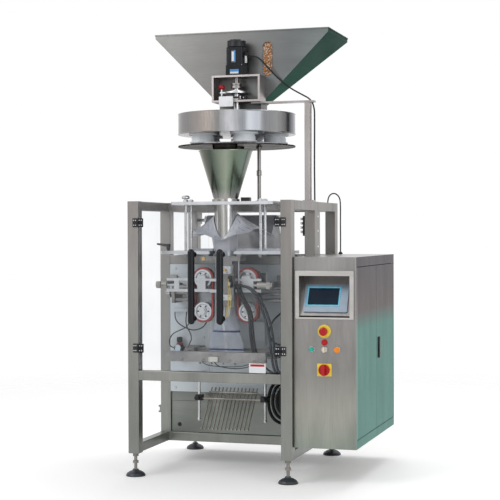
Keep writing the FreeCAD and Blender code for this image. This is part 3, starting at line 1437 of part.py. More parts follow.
def turntable():
    # turning disc with a hub, and the rolled band that stands on its edge as the wall of the pan
    r = drum_radius
    z0, z1 = turntable_disc_z, turntable_disc_z + turntable_disc_thickness
    disc_profile = [(filler_shaft_radius, z0 - 12), (32, z0 - 12), (32, z0), (r, z0),
                    (r + 2, (z0 + z1) / 2), (r, z1), (34, z1), (28, z1 + 24), (filler_shaft_radius, z1 + 24)]
    disc = turned(disc_profile, 0, turntable_y)
    for x, y in cup_positions():
        disc = disc.cut(rod_z(x, y, z0 - 1, z1 + 1, cup_bore_radius))
    band = turned([(r - drum_wall, z1), (r, z1), (r, drum_top - 5), (r + 2, drum_top - 2), (r, drum_top),
                   (r - drum_wall, drum_top)], 0, turntable_y)
    return group([disc, band])


def measuring_cups():
    cups = []
    r = cup_bore_radius
    top = turntable_disc_z
    for x, y in cup_positions():
        profile = [(r, cup_bottom_z), (r + cup_wall, cup_bottom_z), (r + cup_wall, top - 8),
                   (cup_flange_radius, top - 8), (cup_flange_radius, top), (r, top)]
        cups.append(turned(profile, x, y))
    return group(cups)


def lower_cups():
    # a carrier on five arms, and one sleeve round each measuring cup, its flange resting on the carrier
    r = cup_bore_radius + cup_wall + 0.5
    spigot = r + 3.5
    z0 = sleeve_bottom_z
    z1 = z0 + 4
    plate = ring_z(0, turntable_y, z0, z1, cup_circle_radius + 30, 60)
    hub = ring_z(0, turntable_y, z0, z0 + 30, 30, filler_shaft_radius + running_gap)
    arms = []
    for i in range(cup_count):
        arm = box(22, 70, -6, 6, z0, z0 + 6)
        arm.rotate(Vector(0, 0, 0), Vector(0, 0, 1), cup_angle - 90 + 36 + 72 * i)
        arm.translate(Vector(0, turntable_y, 0))
        arms.append(arm)
    arms = fused(arms).cut(rod_z(0, turntable_y, z0 - 1, z0 + 9, filler_shaft_radius + 3))
    carrier = fused([plate, hub, arms])
    sleeves = []
    for x, y in cup_positions():
        carrier = carrier.cut(rod_z(x, y, z0 - 1, z0 + 9, spigot + running_gap))
        sleeves.append(turned([(r, z0), (spigot, z0), (spigot, z1), (r + 12, z1), (r + 12, z1 + 6),
                               (spigot, z1 + 6), (spigot, z0 + 32), (r, z0 + 32)], x, y))
    return group([carrier] + sleeves)


def filler_shaft():
    # long shaft, and the coupling on its upper end that takes the motor's shaft
    r = filler_shaft_radius
    low = base_disc_z - 20
    joint = bracket_top - 65
    z_top = bracket_top - 40
    shaft = turned([(0, low), (r - 2, low), (r, low + 3), (r, joint), (0, joint)], 0, turntable_y)
    coupling = turned([(0, joint), (30, joint), (30, joint + 12), (24, joint + 13), (24, joint + 17),
                       (30, joint + 18), (30, z_top), (12, z_top), (12, bracket_top - 1),
                       (0, bracket_top - 1)], 0, turntable_y)
    return group([shaft, coupling])


def clutch_lever():
    # shifting plate round the shaft with a clearance hole, carried by a guide rod with a red knob
    y = turntable_y
    clear = filler_shaft_radius + 9
    z = bracket_bottom + 46
    disc = fused([ring_z(0, y, z, z + 9, 62, clear), ring_z(0, y, z + 9, z + 16, 34, clear)])
    rod = rod_z(-73, y - 26, bracket_bottom - 12, z + 24, 5)
    arm = box(-80, -40, y - 34, y - 18, z + 1, z + 8)
    knob = turned([(0, 0), (10, 0), (16, 5), (17, 12), (14, 20), (8, 23), (0, 23)], -73, y - 26)
    knob.translate(Vector(0, 0, z + 22))
    handle = fused([arm, rod, knob]).cut(rod_z(0, y, z - 1, z + 10, 62))
    return group([disc, handle])


def clutch_guide_hole():
    return rod_z(-73, turntable_y - 26, bracket_bottom - 2, bracket_bottom + bracket_plate + 2,
                 5 + running_gap)


# ---------------------------------------------------------------- bag chute
def chute_hanger_rods():
    solids = []
    for x in (-hanger_x, hanger_x):
        rod = rod_z(x, hanger_y, hanger_bottom, hanger_top + 16, hanger_radius)
        ball = Part.makeSphere(10, Vector(x, hanger_y, hanger_bottom))
        arm = rounded(box(x - 11, x + 11, hanger_y - 12, panel_front, hanger_top - 8,
                          hanger_top + 14), 3, 1)
        solids.append(fused([rod, ball, arm]))
    return group(solids)


def chute_clamps():
    solids = []
    for side in (-1, 1):
        x = side * hanger_x
        inner = side * (hanger_x - 20)
        a, b = sorted((inner, x + side * 15))
        block = rounded(box(a, b, chute_pivot_y() - 16, hanger_y + 16, chute_clamp_z - 15,
                            chute_clamp_z + 15), 4, 0)
        block = block.cut(rod_z(x, hanger_y, chute_clamp_z - 20, chute_clamp_z + 20,
                                hanger_radius + running_gap))
        c, d = sorted((inner - side * 1, inner + side * 9))
        block = block.cut(rod_x(c, d, chute_pivot_y(), chute_pivot_z(), 5 + running_gap))
        screw = rod_y(x, chute_pivot_y() - 30, chute_pivot_y() - 15, chute_clamp_z, 5)
        grip = rod_y(x, chute_pivot_y() - 44, chute_pivot_y() - 30, chute_clamp_z, 11)
        solids.append(fused([block, screw, grip]))
    return group(solids)


def chute_pivot_z():
    return chute_clamp_z - 4


def chute_pivot_y():
    slope = (chute_top_y - chute_bottom_y) / (chute_top_z - chute_bottom_z)
    return chute_top_y - (chute_top_z - chute_pivot_z()) * slope - 6


def chute_grid():
    length = math.hypot(chute_top_y - chute_bottom_y, chute_top_z - chute_bottom_z)
    angle = math.degrees(math.atan2(chute_top_z - chute_bottom_z, chute_top_y - chute_bottom_y))
    rods = []
    for i in range(chute_rod_count):
        x = -chute_half_width + 2 * chute_half_width * i / (chute_rod_count - 1)
        rod = rod_y(0, 0, length, 0, chute_rod_radius)
        hook = Part.makeCylinder(chute_rod_radius, 16, Vector(0, 0, 0), Vector(0, -0.55, 0.83))
        knee = Part.makeSphere(chute_rod_radius, Vector(0, 0, 0))
        piece = fused([rod, hook, knee])
        piece.rotate(Vector(0, 0, 0), Vector(1, 0, 0), angle)
        piece.translate(Vector(x, chute_bottom_y, chute_bottom_z))
        rods.append(piece)
    half = hanger_x - 21
    pivot = rod_x(-half - 8, half + 8, chute_pivot_y(), chute_pivot_z(), 5)
    shoulder = rod_x(-half, half, chute_pivot_y(), chute_pivot_z(), 6)
    slope = (chute_top_y - chute_bottom_y) / (chute_top_z - chute_bottom_z)
    y2 = chute_pivot_y() + 30 * slope
    tie = rod_x(-chute_half_width - 8, chute_half_width + 8, y2, chute_pivot_z() + 30, 5)
    return fused(rods + [pivot, shoulder, tie])


# ---------------------------------------------------------------- air and cables
regulator_x = -302.0
regulator_y = 424.0


def air_regulator():
    x, y = regulator_x, regulator_y
    body = rounded(box(x - 17, x + 17, y - 16, y + 16, 585, 618), 4, 2)
    bracket = box(x - 12, x + 12, y + 14, panel_front, 590, 612)
    bowl = turned([(0, 545), (11, 545), (15, 549), (16, 556), (16, 585), (0, 585)], x, y)
    ring = turned([(0, 618), (15, 618), (16.5, 620), (16.5, 628), (14, 631), (0, 631)], x, y)
    gauge = turned_y([(0, y - 34), (19, y - 34), (21, y - 31), (21, y - 18), (8, y - 16), (0, y - 16)],
                     x, 605)
    ports = [rod_x(x - 27, x - 17, y, 605, 7), rod_x(x + 17, x + 27, y, 605, 7)]
    body = fused([body, bracket, bowl, ring] + ports)
    body = body.cut(rod_z(x, y, 622, 640, 8 + running_gap))
    return group([fused([body, gauge])])


def regulator_knob():
    x, y = regulator_x, regulator_y
    profile = [(0, 624), (8, 624), (8, 633), (14, 633), (15, 636), (15, 656), (12, 661), (0, 661)]
    knob = turned(profile, x, y)
    for i in range(10):
        angle = math.radians(36 * i)
        knob = knob.cut(rod_z(x + 16.5 * math.cos(angle), y + 16.5 * math.sin(angle), 634, 655, 3))
    return knob


def tube_path(name, points, radius):
    # straight runs joined by tangent arcs, swept with a round section
    pts = [Vector(*p) for p in points]
    edges = []
    start = pts[0]
    total = 0.0
    smallest = 1e9
    for i in range(1, len(pts) - 1):
        before = pts[i].sub(pts[i - 1])
        after = pts[i + 1].sub(pts[i])
        turn = before.getAngle(after)
        trim = 0.45 * min(before.Length, after.Length)
        bend = trim / math.tan(turn / 2)
        u, v = Vector(before), Vector(after)
        u.normalize()
        v.normalize()
        a = pts[i].sub(u * trim)
        b = pts[i].add(v * trim)
        chord = v.sub(u)
        chord.normalize()
        to_mid = chord * (bend / math.cos(turn / 2) - bend)
        edges.append(Part.makeLine(start, a))
        edges.append(Part.Arc(a, pts[i].add(to_mid), b).toShape())
        total += a.sub(start).Length + bend * turn
        smallest = min(smallest, bend)
        start = b
    edges.append(Part.makeLine(start, pts[-1]))
    total += pts[-1].sub(start).Length
    wire = Part.Wire(edges)
    heading = pts[1].sub(pts[0])
    ring = Part.Wire([Part.makeCircle(radius, pts[0], heading)])
    tube = wire.makePipeShell([ring], True, True)
    ratio = tube.Volume / (total * math.pi * radius * radius)
    print("%s: length %.0f, smallest bend radius %.0f, section diameter %.0f, volume ratio %.3f"
          % (name, total, smallest, 2 * radius, ratio))
    return tube


def air_tubes():
    y = regulator_y
    x = regulator_x
    loops = []
    first = [(x - 27.8, y, 605), (x - 46, y, 606), (x - 57, y, 621), (x - 58, y - 1, 646),
             (x - 40, y - 2, 676), (x - 4, y - 4, 694), (x + 34, y - 2, 709), (x + 58, y + 4, 742),
             (x + 60, y + 8, 792)]
    loops.append(tube_path("tube from regulator", first, 3))
    second = [(x + 28, y, 605), (x + 47, y - 5, 606), (x + 60, y - 13, 632), (x + 76, y - 20, 658),
              (x + 62, y - 21, 692), (x + 42, y - 18, 724), (x + 36, y - 6, 758), (x + 36, y + 7, 792)]
    loops.append(tube_path("tube to jaws", second, 3))
    third = [(-330, y + 8, 792), (-330, y, 762), (-306, y - 10, 732), (-270, y - 12, 712),
             (-232, y - 12, 698), (-194, y - 6, 702), (-164, y + 10, 722), (-156, panel_front - 3, 756)]
    loops.append(tube_path("tube across", third, 3))
    return group(loops)


def cable_bundle():
    # three cables from the clip in front of the right belt down to the panel below the jaws
    z = cable_clip_z
    runs = []
    for name, dx, dy, lift, radius in (("bundle cable a", 0, 0, 0, 6),
                                       ("bundle cable b", 9, 11, 11, 5),
                                       ("bundle cable c", -9, 9, 0, 4)):
        fan = 1.6 * dx
        low = z + lift
        points = [(85 + dx, 214 + dy, z - 1.2), (91 + dx, 214 + dy, z - 38),
                  (114 + dx, 209 + dy, z - 72), (138 + dx, 205 + dy, z - 108),
                  (150 + dx, 204 + dy, z - 150), (153 + dx, 205 + dy, z - 222),
                  (160 + dx, 206 + dy, z - 290), (172 + dx, 210 + dy, low - 350),
                  (196 + dx, 226 + dy, low - 402), (222 + fan, 262 + dy, low - 440),
                  (240 + fan, 320 + dy, low - 458), (246 + fan, 380 + dy, low - 464),
                  (247 + fan, panel_front - 3, low - 464)]
        runs.append(tube_path(name, points, radius))
    return runs


def cables():
    y = turntable_y
    runs = []
    top, arm = bracket_top, bracket_bottom
    runs.append(tube_path("filler motor cable", [(motor_size / 2 + 18.7, y, top + 105),
                (110, y + 2, top + 99), (150, y + 14, top + 55), (190, y + 34, top + 7),
                (232, y + 52, top - 35), (276, y + 53, top - 69), (330, y + 53, arm + 39),
                (382, y + 53, arm + 11), (401, y + 52, arm - 35), (402, y + 49, arm - 95),
                (402, y + 48, arm - 175), (402, y + 45, arm - 265), (402, y + 44, arm - 355),
                (402, y + 48, frame_top + 80), (402, y + 49, frame_top + 1)], 4))
    runs.append(tube_path("cabinet cable", [(384, rear_post_y - 22, frame_top + 1),
                (384, rear_post_y - 20, 1395), (412, rear_post_y - 4, 1418),
                (442, rear_post_y + 10, 1396), (446, rear_post_y + 14, 1348),
                (444, rear_post_y + 16, 1250), (445, rear_post_y + 17, 1170),
                (444, rear_post_y + 18, cabinet_top + 13.5)], 3.5))
    gland = turned([(0, 0), (12, 0), (12, 6), (9, 8), (7, 13), (0, 13)], 444, rear_post_y + 18)
    gland.translate(Vector(0, 0, cabinet_top))
    runs.append(gland)
    runs.append(tube_path("sensor cable", [(250, panel_front - 4, 800), (244, 420, 790), (214, 400, 760),
                (190, 396, 712), (196, 400, 660), (232, 418, 628), (268, 430, 640),
                (290, panel_front - 5, 664)], 5))
    runs.append(tube_path("hose below the jaws", [(300, panel_front - 3, 470), (296, 420, 460),
                (276, 376, 442), (264, 352, 400), (260, 344, 350), (266, 346, 290),
                (282, 366, 246), (306, 400, 224), (340, 424, 214), (378, 434, 210),
                (cabinet_left - 1, 434, 206)], 6))
    runs += cable_bundle()
    return group(runs)


# ---------------------------------------------------------------- write the parts
def filler_support_with_guide():
    return filler_support().cut(clutch_guide_hole())


builders = {
    "frame": lambda: group([frame_posts(), frame_rails()]),
    "levelling_feet": levelling_feet,
    "mounting_panel": mounting_panel,
    "cover_panels": lower_panels,
    "cabinet_shell": cabinet_shell,
    "hmi_panel": hmi_panel,
    "control_fittings": control_fittings,
    "fixed_hinge_leaves": fixed_hinge_leaves,
    "forming_stand": forming_stand,
    "forming_tube": forming_tube,
    "forming_collar": forming_collar,
    "discharge_funnel": discharge_funnel,
    "panel_brackets": panel_brackets,
    "film_stand": film_stand,
    "hopper": hopper,
    "sight_window": sight_window,
    "filler_support": filler_support_with_guide,
    "filler_motor": filler_motor,
    "base_disc": base_disc,
    "chute_hanger_rods": chute_hanger_rods,
    "air_regulator": air_regulator,
    "air_tubes": air_tubes,
    "cables": cables,
    "left_door_pane": lambda: door_pane(-1),
    "left_door_fittings": lambda: door_fittings(-1),
    "right_door_pane": lambda: door_pane(1),
    "right_door_fittings": lambda: door_fittings(1),
    "cabinet_door_front": cabinet_door_front,
    "cabinet_door_rear": cabinet_door_rear,
    "cabinet_handle": cabinet_handle,
    "emergency_stop_button": emergency_stop_button,
    "start_button": start_button,
    "stop_button": stop_button,
    "selector_knob": selector_knob,
    "main_switch_knob": main_switch_knob,
    "turntable": turntable,
    "measuring_cups": measuring_cups,
    "lower_cups": lower_cups,
    "filler_shaft": filler_shaft,
    "clutch_lever": clutch_lever,
    "belt_carriage_left": lambda: belt_carriage(-1),
    "belt_carriage_right": lambda: belt_carriage(1),
    "left_belt": lambda: pull_belt(-1),
    "right_belt": lambda: pull_belt(1),
    "upper_left_pulley": lambda: pull_pulley(-1, upper_pulley_z),
    "lower_left_pulley": lambda: pull_pulley(-1, lower_pulley_z),
    "upper_right_pulley": lambda: pull_pulley(1, upper_pulley_z),
    "lower_right_pulley": lambda: pull_pulley(1, lower_pulley_z),
    "adjusting_screw": adjusting_screw,
    "vertical_sealer": vertical_sealer,
    "front_jaw": front_jaw,
    "rear_jaw": rear_jaw,
    "knife_blade": knife_blade,
    "film_roll": film_roll,
    "dancer_arm": dancer_arm,
    "guide_roller": guide_roller,
    "chute_clamps": chute_clamps,
    "chute_grid": chute_grid,
    "regulator_knob": regulator_knob,
    "clamp_lever": clamp_lever,
}


def solids_only(shape):
    return Part.makeCompound(shape.Solids)


def export_all():
    for name, build in builders.items():
        shape = solids_only(build())
        shape.translate(Vector(-origin_x, -origin_y, 0))
        if not shape.isValid() or not shape.Solids:
            print("check the shape of", name)
        parts[name] = shape
        shape.exportStep("parts/%s.step" % name)
    bounds = Part.makeCompound(list(parts.values())).BoundBox
    print("size %.1f x %.1f x %.1f, middle %.2f, %.2f, bottom %.2f"
          % (bounds.XLength, bounds.YLength, bounds.ZLength, bounds.Center.x, bounds.Center.y,
             bounds.ZMin))


export_all()
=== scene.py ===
import bpy
import bmesh
import json
import math
import random
from mathutils import Matrix, Vector


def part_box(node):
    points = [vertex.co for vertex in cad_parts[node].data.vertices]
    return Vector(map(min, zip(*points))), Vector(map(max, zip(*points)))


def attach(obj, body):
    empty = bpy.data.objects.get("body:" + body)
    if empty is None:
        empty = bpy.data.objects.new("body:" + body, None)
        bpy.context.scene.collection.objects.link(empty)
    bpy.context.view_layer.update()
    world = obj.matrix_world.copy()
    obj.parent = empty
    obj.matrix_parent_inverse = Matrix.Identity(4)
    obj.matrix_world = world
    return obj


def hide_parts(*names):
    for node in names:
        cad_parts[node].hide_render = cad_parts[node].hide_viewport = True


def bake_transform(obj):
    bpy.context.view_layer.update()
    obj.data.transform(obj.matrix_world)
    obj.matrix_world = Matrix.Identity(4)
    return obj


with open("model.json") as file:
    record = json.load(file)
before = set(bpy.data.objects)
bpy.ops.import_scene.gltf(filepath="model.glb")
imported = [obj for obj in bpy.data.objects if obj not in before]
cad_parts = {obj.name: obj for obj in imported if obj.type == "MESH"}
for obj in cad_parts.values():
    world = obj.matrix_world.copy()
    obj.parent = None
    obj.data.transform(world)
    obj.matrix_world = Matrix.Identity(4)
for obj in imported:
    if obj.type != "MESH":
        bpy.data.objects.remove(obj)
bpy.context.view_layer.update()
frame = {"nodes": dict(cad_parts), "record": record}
nodes = frame["nodes"]
scene = bpy.context.scene

# machine coordinates (mm): X = 0 at the forming tube, Y = 0 at the front of the posts
TUBE_Y = 282
FILLER_Y = 468
PANEL_FRONT = 452
BIG = 5000  # past the machine on any side

tube_low, tube_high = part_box("forming_tube")
OX = (tube_low[0] + tube_high[0]) / 2
OY = (tube_low[1] + tube_high[1]) / 2 - TUBE_Y / 1000


def at(x, y, z):
    """A point given in machine millimetres, in metres of the scene."""
    return Vector((x / 1000 + OX, y / 1000 + OY, z / 1000))


# ---- materials
class Graph:
    """A material's node tree with short calls for the nodes used here."""

    def __init__(self, name):
        self.mat = bpy.data.materials.new(name)
        self.mat.use_nodes = True
        self.tree = self.mat.node_tree
        self.tree.nodes.clear()
        self.out = self.tree.nodes.new("ShaderNodeOutputMaterial")
        self.bsdf = self.tree.nodes.new("ShaderNodeBsdfPrincipled")
        self.link(self.bsdf.outputs[0], self.out.inputs[0])
        self.coord = self.tree.nodes.new("ShaderNodeTexCoord").outputs["Object"]

    def link(self, a, b):
        self.tree.links.new(a, b)

    def scaled(self, scale):
        node = self.tree.nodes.new("ShaderNodeMapping")
        node.inputs["Scale"].default_value = scale
        self.link(self.coord, node.inputs["Vector"])
        return node.outputs[0]

    def noise(self, vector, scale=1.0, detail=4.0, rough=0.55):
        node = self.tree.nodes.new("ShaderNodeTexNoise")
        node.inputs["Scale"].default_value = scale
        node.inputs["Detail"].default_value = detail
        node.inputs["Roughness"].default_value = rough
        self.link(vector, node.inputs["Vector"])
        return node.outputs["Fac"]

    def ramp(self, fac, stops):
        node = self.tree.nodes.new("ShaderNodeValToRGB")
        ramp = node.color_ramp
        while len(ramp.elements) < len(stops):
            ramp.elements.new(0.5)
        for element, (position, color) in zip(ramp.elements, stops):
            element.position = position
            element.color = tuple(color) + (1.0,)
        self.link(fac, node.inputs["Fac"])
        return node.outputs["Color"]

    def span(self, value, low, high, to_low, to_high):
        node = self.tree.nodes.new("ShaderNodeMapRange")
        node.inputs["From Min"].default_value = low
        node.inputs["From Max"].default_value = high
        node.inputs["To Min"].default_value = to_low
        node.inputs["To Max"].default_value = to_high
        self.link(value, node.inputs["Value"])
        return node.outputs[0]

    def mix(self, fac, a, b, mode="MIX"):
        node = self.tree.nodes.new("ShaderNodeMix")
        node.data_type = "RGBA"
        node.blend_type = mode
        self.put(fac, node.inputs[0])
        self.put(a, node.inputs[6])
        self.put(b, node.inputs[7])
        return node.outputs[2]

    def put(self, value, socket):
        if hasattr(value, "is_output"):
            self.link(value, socket)
        elif isinstance(value, (tuple, list)):
            socket.default_value = tuple(value) + (1.0,)
        else:
            socket.default_value = value

    def math(self, kind, a, b=0.0):
        node = self.tree.nodes.new("ShaderNodeMath")
        node.operation = kind
        self.put(a, node.inputs[0])
        self.put(b, node.inputs[1])
        return node.outputs[0]

    def axis(self, name):
        node = self.tree.nodes.new("ShaderNodeSeparateXYZ")
        self.link(self.coord, node.inputs[0])
        return node.outputs[name]

    def angle(self, axis_y):
        """The angle round the upright axis at x = 0 and axis_y (mm), in radians."""
        dx = self.math("SUBTRACT", self.axis("X"), OX)
        dy = self.math("SUBTRACT", self.axis("Y"), OY + axis_y / 1000)
        return self.math("ARCTAN2", dy, dx)

    def bump(self, height, strength, distance=0.001):
        node = self.tree.nodes.new("ShaderNodeBump")
        node.inputs["Strength"].default_value = strength
        node.inputs["Distance"].default_value = distance
        self.link(height, node.inputs["Height"])
        self.link(node.outputs[0], self.bsdf.inputs["Normal"])

    def set(self, **values):
        for key, value in values.items():
            self.put(value, self.bsdf.inputs[key.replace("_", " ")])


HEIGHT_RANGE = (0.0, 2.3)  # metres, the ends of a ramp up the machine
LENGTH_RANGE = (-0.65, 0.65)  # metres, the ends of a ramp along it


def steel(name, tone, rough, brushed="Z", spread=0.22, height_stops=None, length_stops=None, edge=None,
          wobble=0.28):
    """Brushed sheet: hair-fine lines along the brushing, cloudy patches, and slow changes of tone.
    height_stops and length_stops paint bands of reflection and highlight into the colour, up and along the
    machine.

    edge is the colour at grazing angles, or a list of stops up the machine; it tints the reflection to paint
    reflected colour and shade.
    """
    g = Graph(name)
    fine_scale = {"Z": (900, 900, 14), "X": (14, 900, 900), "Y": (900, 14, 900)}[brushed]
    patch_scale = {"Z": (7, 7, 1.6), "X": (1.6, 7, 7), "Y": (7, 1.6, 7)}[brushed]
    fine = g.noise(g.scaled(fine_scale), 1.0, 2.0, 0.5)
    broad = g.noise(g.scaled(patch_scale), 1.0, 4.0, 0.55)
    dark = tuple(c * (1 - spread) for c in tone)
    light = tuple(c * (1 + spread) for c in tone)
    color = g.ramp(broad, [(0.30, dark), (0.70, light)])
    lines = g.ramp(fine, [(0.30, (0.86,) * 3), (0.70, (1.0,) * 3)])
    color = g.mix(1.0, color, lines, "MULTIPLY")
    sway = g.math("MULTIPLY", g.math("SUBTRACT", broad, 0.5), wobble)

    def along(axis, ends, stops):
        share = g.math("ADD", g.span(g.axis(axis), *ends, 0.0, 1.0), g.math("MULTIPLY", sway, 0.4))
        return g.ramp(share, stops)

    # painted reflection and highlight bands up and along the machine
    if height_stops:
        color = g.mix(1.0, color, along("Z", HEIGHT_RANGE, height_stops), "MULTIPLY")
    if length_stops:
        color = g.mix(1.0, color, along("X", LENGTH_RANGE, length_stops), "MULTIPLY")
    smear = g.noise(g.scaled((9, 9, 5)), 1.0, 5.0, 0.65)
    g.set(Base_Color=color, Metallic=1.0, Roughness=g.span(smear, 0.3, 0.7, rough - 0.05, rough + 0.07))
    # grazing tint that paints reflected colour and shade
    if isinstance(edge, list):
        g.link(along("Z", HEIGHT_RANGE, edge), g.bsdf.inputs["Specular Tint"])
    elif edge:
        g.bsdf.inputs["Specular Tint"].default_value = (*edge, 1.0)
    g.bump(fine, 0.06, 0.0002)
    return g.mat


def paint(name, dark, light, rough, metallic=0.0, grain=240.0, bump=0.10, coat=0.0, specular=0.5, cloud=7):
    """Paint or moulded plastic: slight cloudiness, a fine orange-peel or grain bump, handled patches."""
    g = Graph(name)
    patches = g.noise(g.scaled((cloud, cloud, cloud)), 1.0, 4.0, 0.6)
    grain_value = g.noise(g.scaled((grain, grain, grain)), 1.0, 2.0, 0.5)
    color = g.ramp(patches, [(0.32, dark), (0.68, light)])
    g.set(Base_Color=color, Metallic=metallic,
          Roughness=g.span(patches, 0.3, 0.7, max(rough - 0.07, 0.04), rough + 0.07))
    g.bsdf.inputs["Coat Weight"].default_value = coat
    g.bsdf.inputs["Specular IOR Level"].default_value = specular
    g.bump(grain_value, bump, 0.0005)
    return g.mat


def turned_metal(name, dark, light, rough, axis="Y", scale=900.0, metallic=1.0):
    """Machined metal with fine rings or lines across the given axis."""
    g = Graph(name)
    stretch = {"X": (scale, 12, 12), "Y": (12, scale, 12), "Z": (12, 12, scale)}[axis]
    lines = g.noise(g.scaled(stretch), 1.0, 2.0, 0.5)
    cloud = g.noise(g.scaled((14, 14, 14)), 1.0, 4.0, 0.6)
    color = g.ramp(cloud, [(0.3, dark), (0.7, light)])
    g.set(Base_Color=color, Metallic=metallic, Roughness=g.span(lines, 0.3, 0.7, rough - 0.05, rough + 0.08))
    g.bump(lines, 0.14, 0.0003)
    return g.mat


def mirror_steel(name, axis_y, stops, rough, wobble, lower=None):
    """Polished round sheet metal: upright soft bands of painted reflection, light and dark, set by the angle
    round the axis.

    The axis stands at x = 0 and axis_y. lower is (low, high, colour): the colour takes over below.
    """
    g = Graph(name)
    turn = g.math("ADD", g.math("DIVIDE", g.angle(axis_y), 2 * math.pi), 0.5)
    cloud = g.noise(g.scaled((5, 5, 5)), 1.0, 4.0, 0.6)
    streak = g.noise(g.scaled((60, 60, 3)), 1.0, 3.0, 0.6)
    shift = g.math("ADD", g.math("MULTIPLY", g.math("SUBTRACT", cloud, 0.5), wobble),
                   g.math("MULTIPLY", g.math("SUBTRACT", streak, 0.5), wobble * 0.5))
    color = g.ramp(g.math("ADD", turn, shift), stops)
    fine = g.noise(g.scaled((400, 400, 10)), 1.0, 2.0, 0.5)
    color = g.mix(1.0, color, g.ramp(fine, [(0.3, (0.86,) * 3), (0.7, (1.0,) * 3)]), "MULTIPLY")
    if lower:
        level = g.math("ADD", g.axis("Z"), g.math("MULTIPLY", g.math("SUBTRACT", cloud, 0.5), 0.10))
        color = g.mix(g.span(level, lower[0], lower[1], 1.0, 0.0), color, lower[2])
    g.set(Base_Color=color, Metallic=1.0, Roughness=g.span(fine, 0.3, 0.7, rough - 0.04, rough + 0.05))
    g.bump(fine, 0.04, 0.0002)
    return g.mat


def clear_sheet(name, tint, rough, tint_amount):
    """Clear sheet: mostly see-through, with a faint tint, streaks of cleaning and a glossy skin."""
    g = Graph(name)
    streaks = g.noise(g.scaled((6, 6, 3)), 1.0, 5.0, 0.6)
    clear = g.tree.nodes.new("ShaderNodeBsdfTransparent")
    fresnel = g.tree.nodes.new("ShaderNodeFresnel")
    fresnel.inputs["IOR"].default_value = 1.45
    passing = [(0.3, tuple(0.7 + 0.3 * c for c in tint)), (0.7, (1, 1, 1))]
    skin = [(0.3, tint), (0.7, tuple(min(1, c * 1.12) for c in tint))]
    g.link(g.ramp(streaks, passing), clear.inputs["Color"])
    g.set(Base_Color=g.ramp(streaks, skin), Roughness=rough)
    mixer = g.tree.nodes.new("ShaderNodeMixShader")
    amount = g.math("ADD", g.math("MULTIPLY", fresnel.outputs[0], 0.30),
                    g.span(streaks, 0.3, 0.7, tint_amount, tint_amount * 1.6))
    g.link(amount, mixer.inputs[0])
    g.link(clear.outputs[0], mixer.inputs[1])
    g.link(g.bsdf.outputs[0], mixer.inputs[2])
    g.link(mixer.outputs[0], g.out.inputs[0])
    return g.mat


# painted reflection: the frame steel is a little greenish low down and warm higher up, the reflected green
# floor and warm walls
FLOOR_AND_WALL_REFLECTION = [(0.10, (0.98, 1.03, 0.98)), (0.60, (1.04, 0.99, 0.97))]
STEEL_Z = steel("steel_upright", (0.262, 0.258, 0.252), 0.34, "Z", 0.16, FLOOR_AND_WALL_REFLECTION)
STEEL_X = steel("steel_lengthwise", (0.225, 0.228, 0.222), 0.34, "X", 0.16, FLOOR_AND_WALL_REFLECTION)
STEEL_Y = steel("steel_crosswise", (0.230, 0.228, 0.225), 0.34, "Y", 0.16, FLOOR_AND_WALL_REFLECTION)
FILLER_STEEL = steel("steel_warm", (0.40, 0.37, 0.365), 0.32, "Z", 0.22)
# painted reflection and highlight bands up the cabinet: greenish at the foot, bright near 0.37 m, darker
# near 0.55 m, bright again at the top
CABINET = steel("steel_cabinet", (0.300, 0.293, 0.283), 0.32, "Z", 0.20,
                [(0.08, (0.90, 1.02, 0.92)), (0.16, (1.10, 1.10, 1.02)), (0.24, (0.84, 0.84, 0.82)),
                 (0.34, (0.98, 0.96, 0.97)), (0.47, (1.12, 1.10, 1.14))])
# painted reflection of a green floor: the door steel turns green below about 0.75 m, in colour and grazing
# tint, with pink-grey bands above
DOOR_STEEL = steel("steel_cabinet_door", (0.38, 0.38, 0.38), 0.20, "Z", 0.12,
                   [(0.32, (1.03, 1.28, 1.20)), (0.36, (1.10, 0.98, 0.98)), (0.45, (0.94, 0.89, 0.94))],
                   None, [(0.32, (0.31, 0.46, 0.43)), (0.36, (0.34, 0.34, 0.34))], 0.03)
# painted reflection bands along the hopper: much lighter at its left end, greenish towards the right
HOPPER = steel("steel_hopper", (0.156, 0.156, 0.154), 0.38, "X", 0.12, None,
               [(0.02, (1.45, 1.44, 1.42)), (0.35, (1.10, 1.09, 1.08)), (0.60, (0.92, 0.97, 1.00)),
                (0.72, (1.08, 1.20, 1.20)), (0.80, (1.04, 1.16, 1.13))])
# painted reflection: the hopper's ends are dark green steel, the reflected green floor, in colour and
# grazing tint
HOPPER_SIDE = steel("steel_hopper_side", (0.075, 0.112, 0.094), 0.30, "Y", 0.20,
                    [(0.84, (0.95, 1.05, 1.0)), (0.90, (1.0, 1.0, 1.0)), (0.97, (1.1, 0.95, 1.0))], None,
                    (0.35, 0.42, 0.40))
# painted shade: the polished base disc gets a near-black tone and a dim grazing tint for the shade on its
# underside
SHADED_PLATE = steel("polished_plate_painted_shade", (0.034, 0.031, 0.028), 0.26, "X", 0.30, None, None,
                   (0.22, 0.215, 0.20))
ALU = turned_metal("aluminium", (0.50, 0.51, 0.53), (0.62, 0.63, 0.65), 0.32, "X")
CHROME = turned_metal("bright_steel", (0.40, 0.405, 0.42), (0.58, 0.585, 0.60), 0.22, "Z")
DARK_STEEL = turned_metal("machined_steel", (0.21, 0.20, 0.195), (0.34, 0.33, 0.32), 0.36, "X")
GREY_PAINT = paint("grey_panel_paint", (0.575, 0.63, 0.665), (0.665, 0.72, 0.75), 0.42)
WHITE_PAINT = paint("white_paint", (0.68, 0.70, 0.72), (0.80, 0.81, 0.82), 0.38)
BLACK = paint("black_plastic", (0.010, 0.010, 0.011), (0.020, 0.020, 0.022), 0.36, bump=0.2, specular=0.35)
BLACK_GLOSS = paint("black_gloss", (0.006, 0.007, 0.010), (0.011, 0.012, 0.016), 0.22, bump=0.05,
                    specular=0.22)
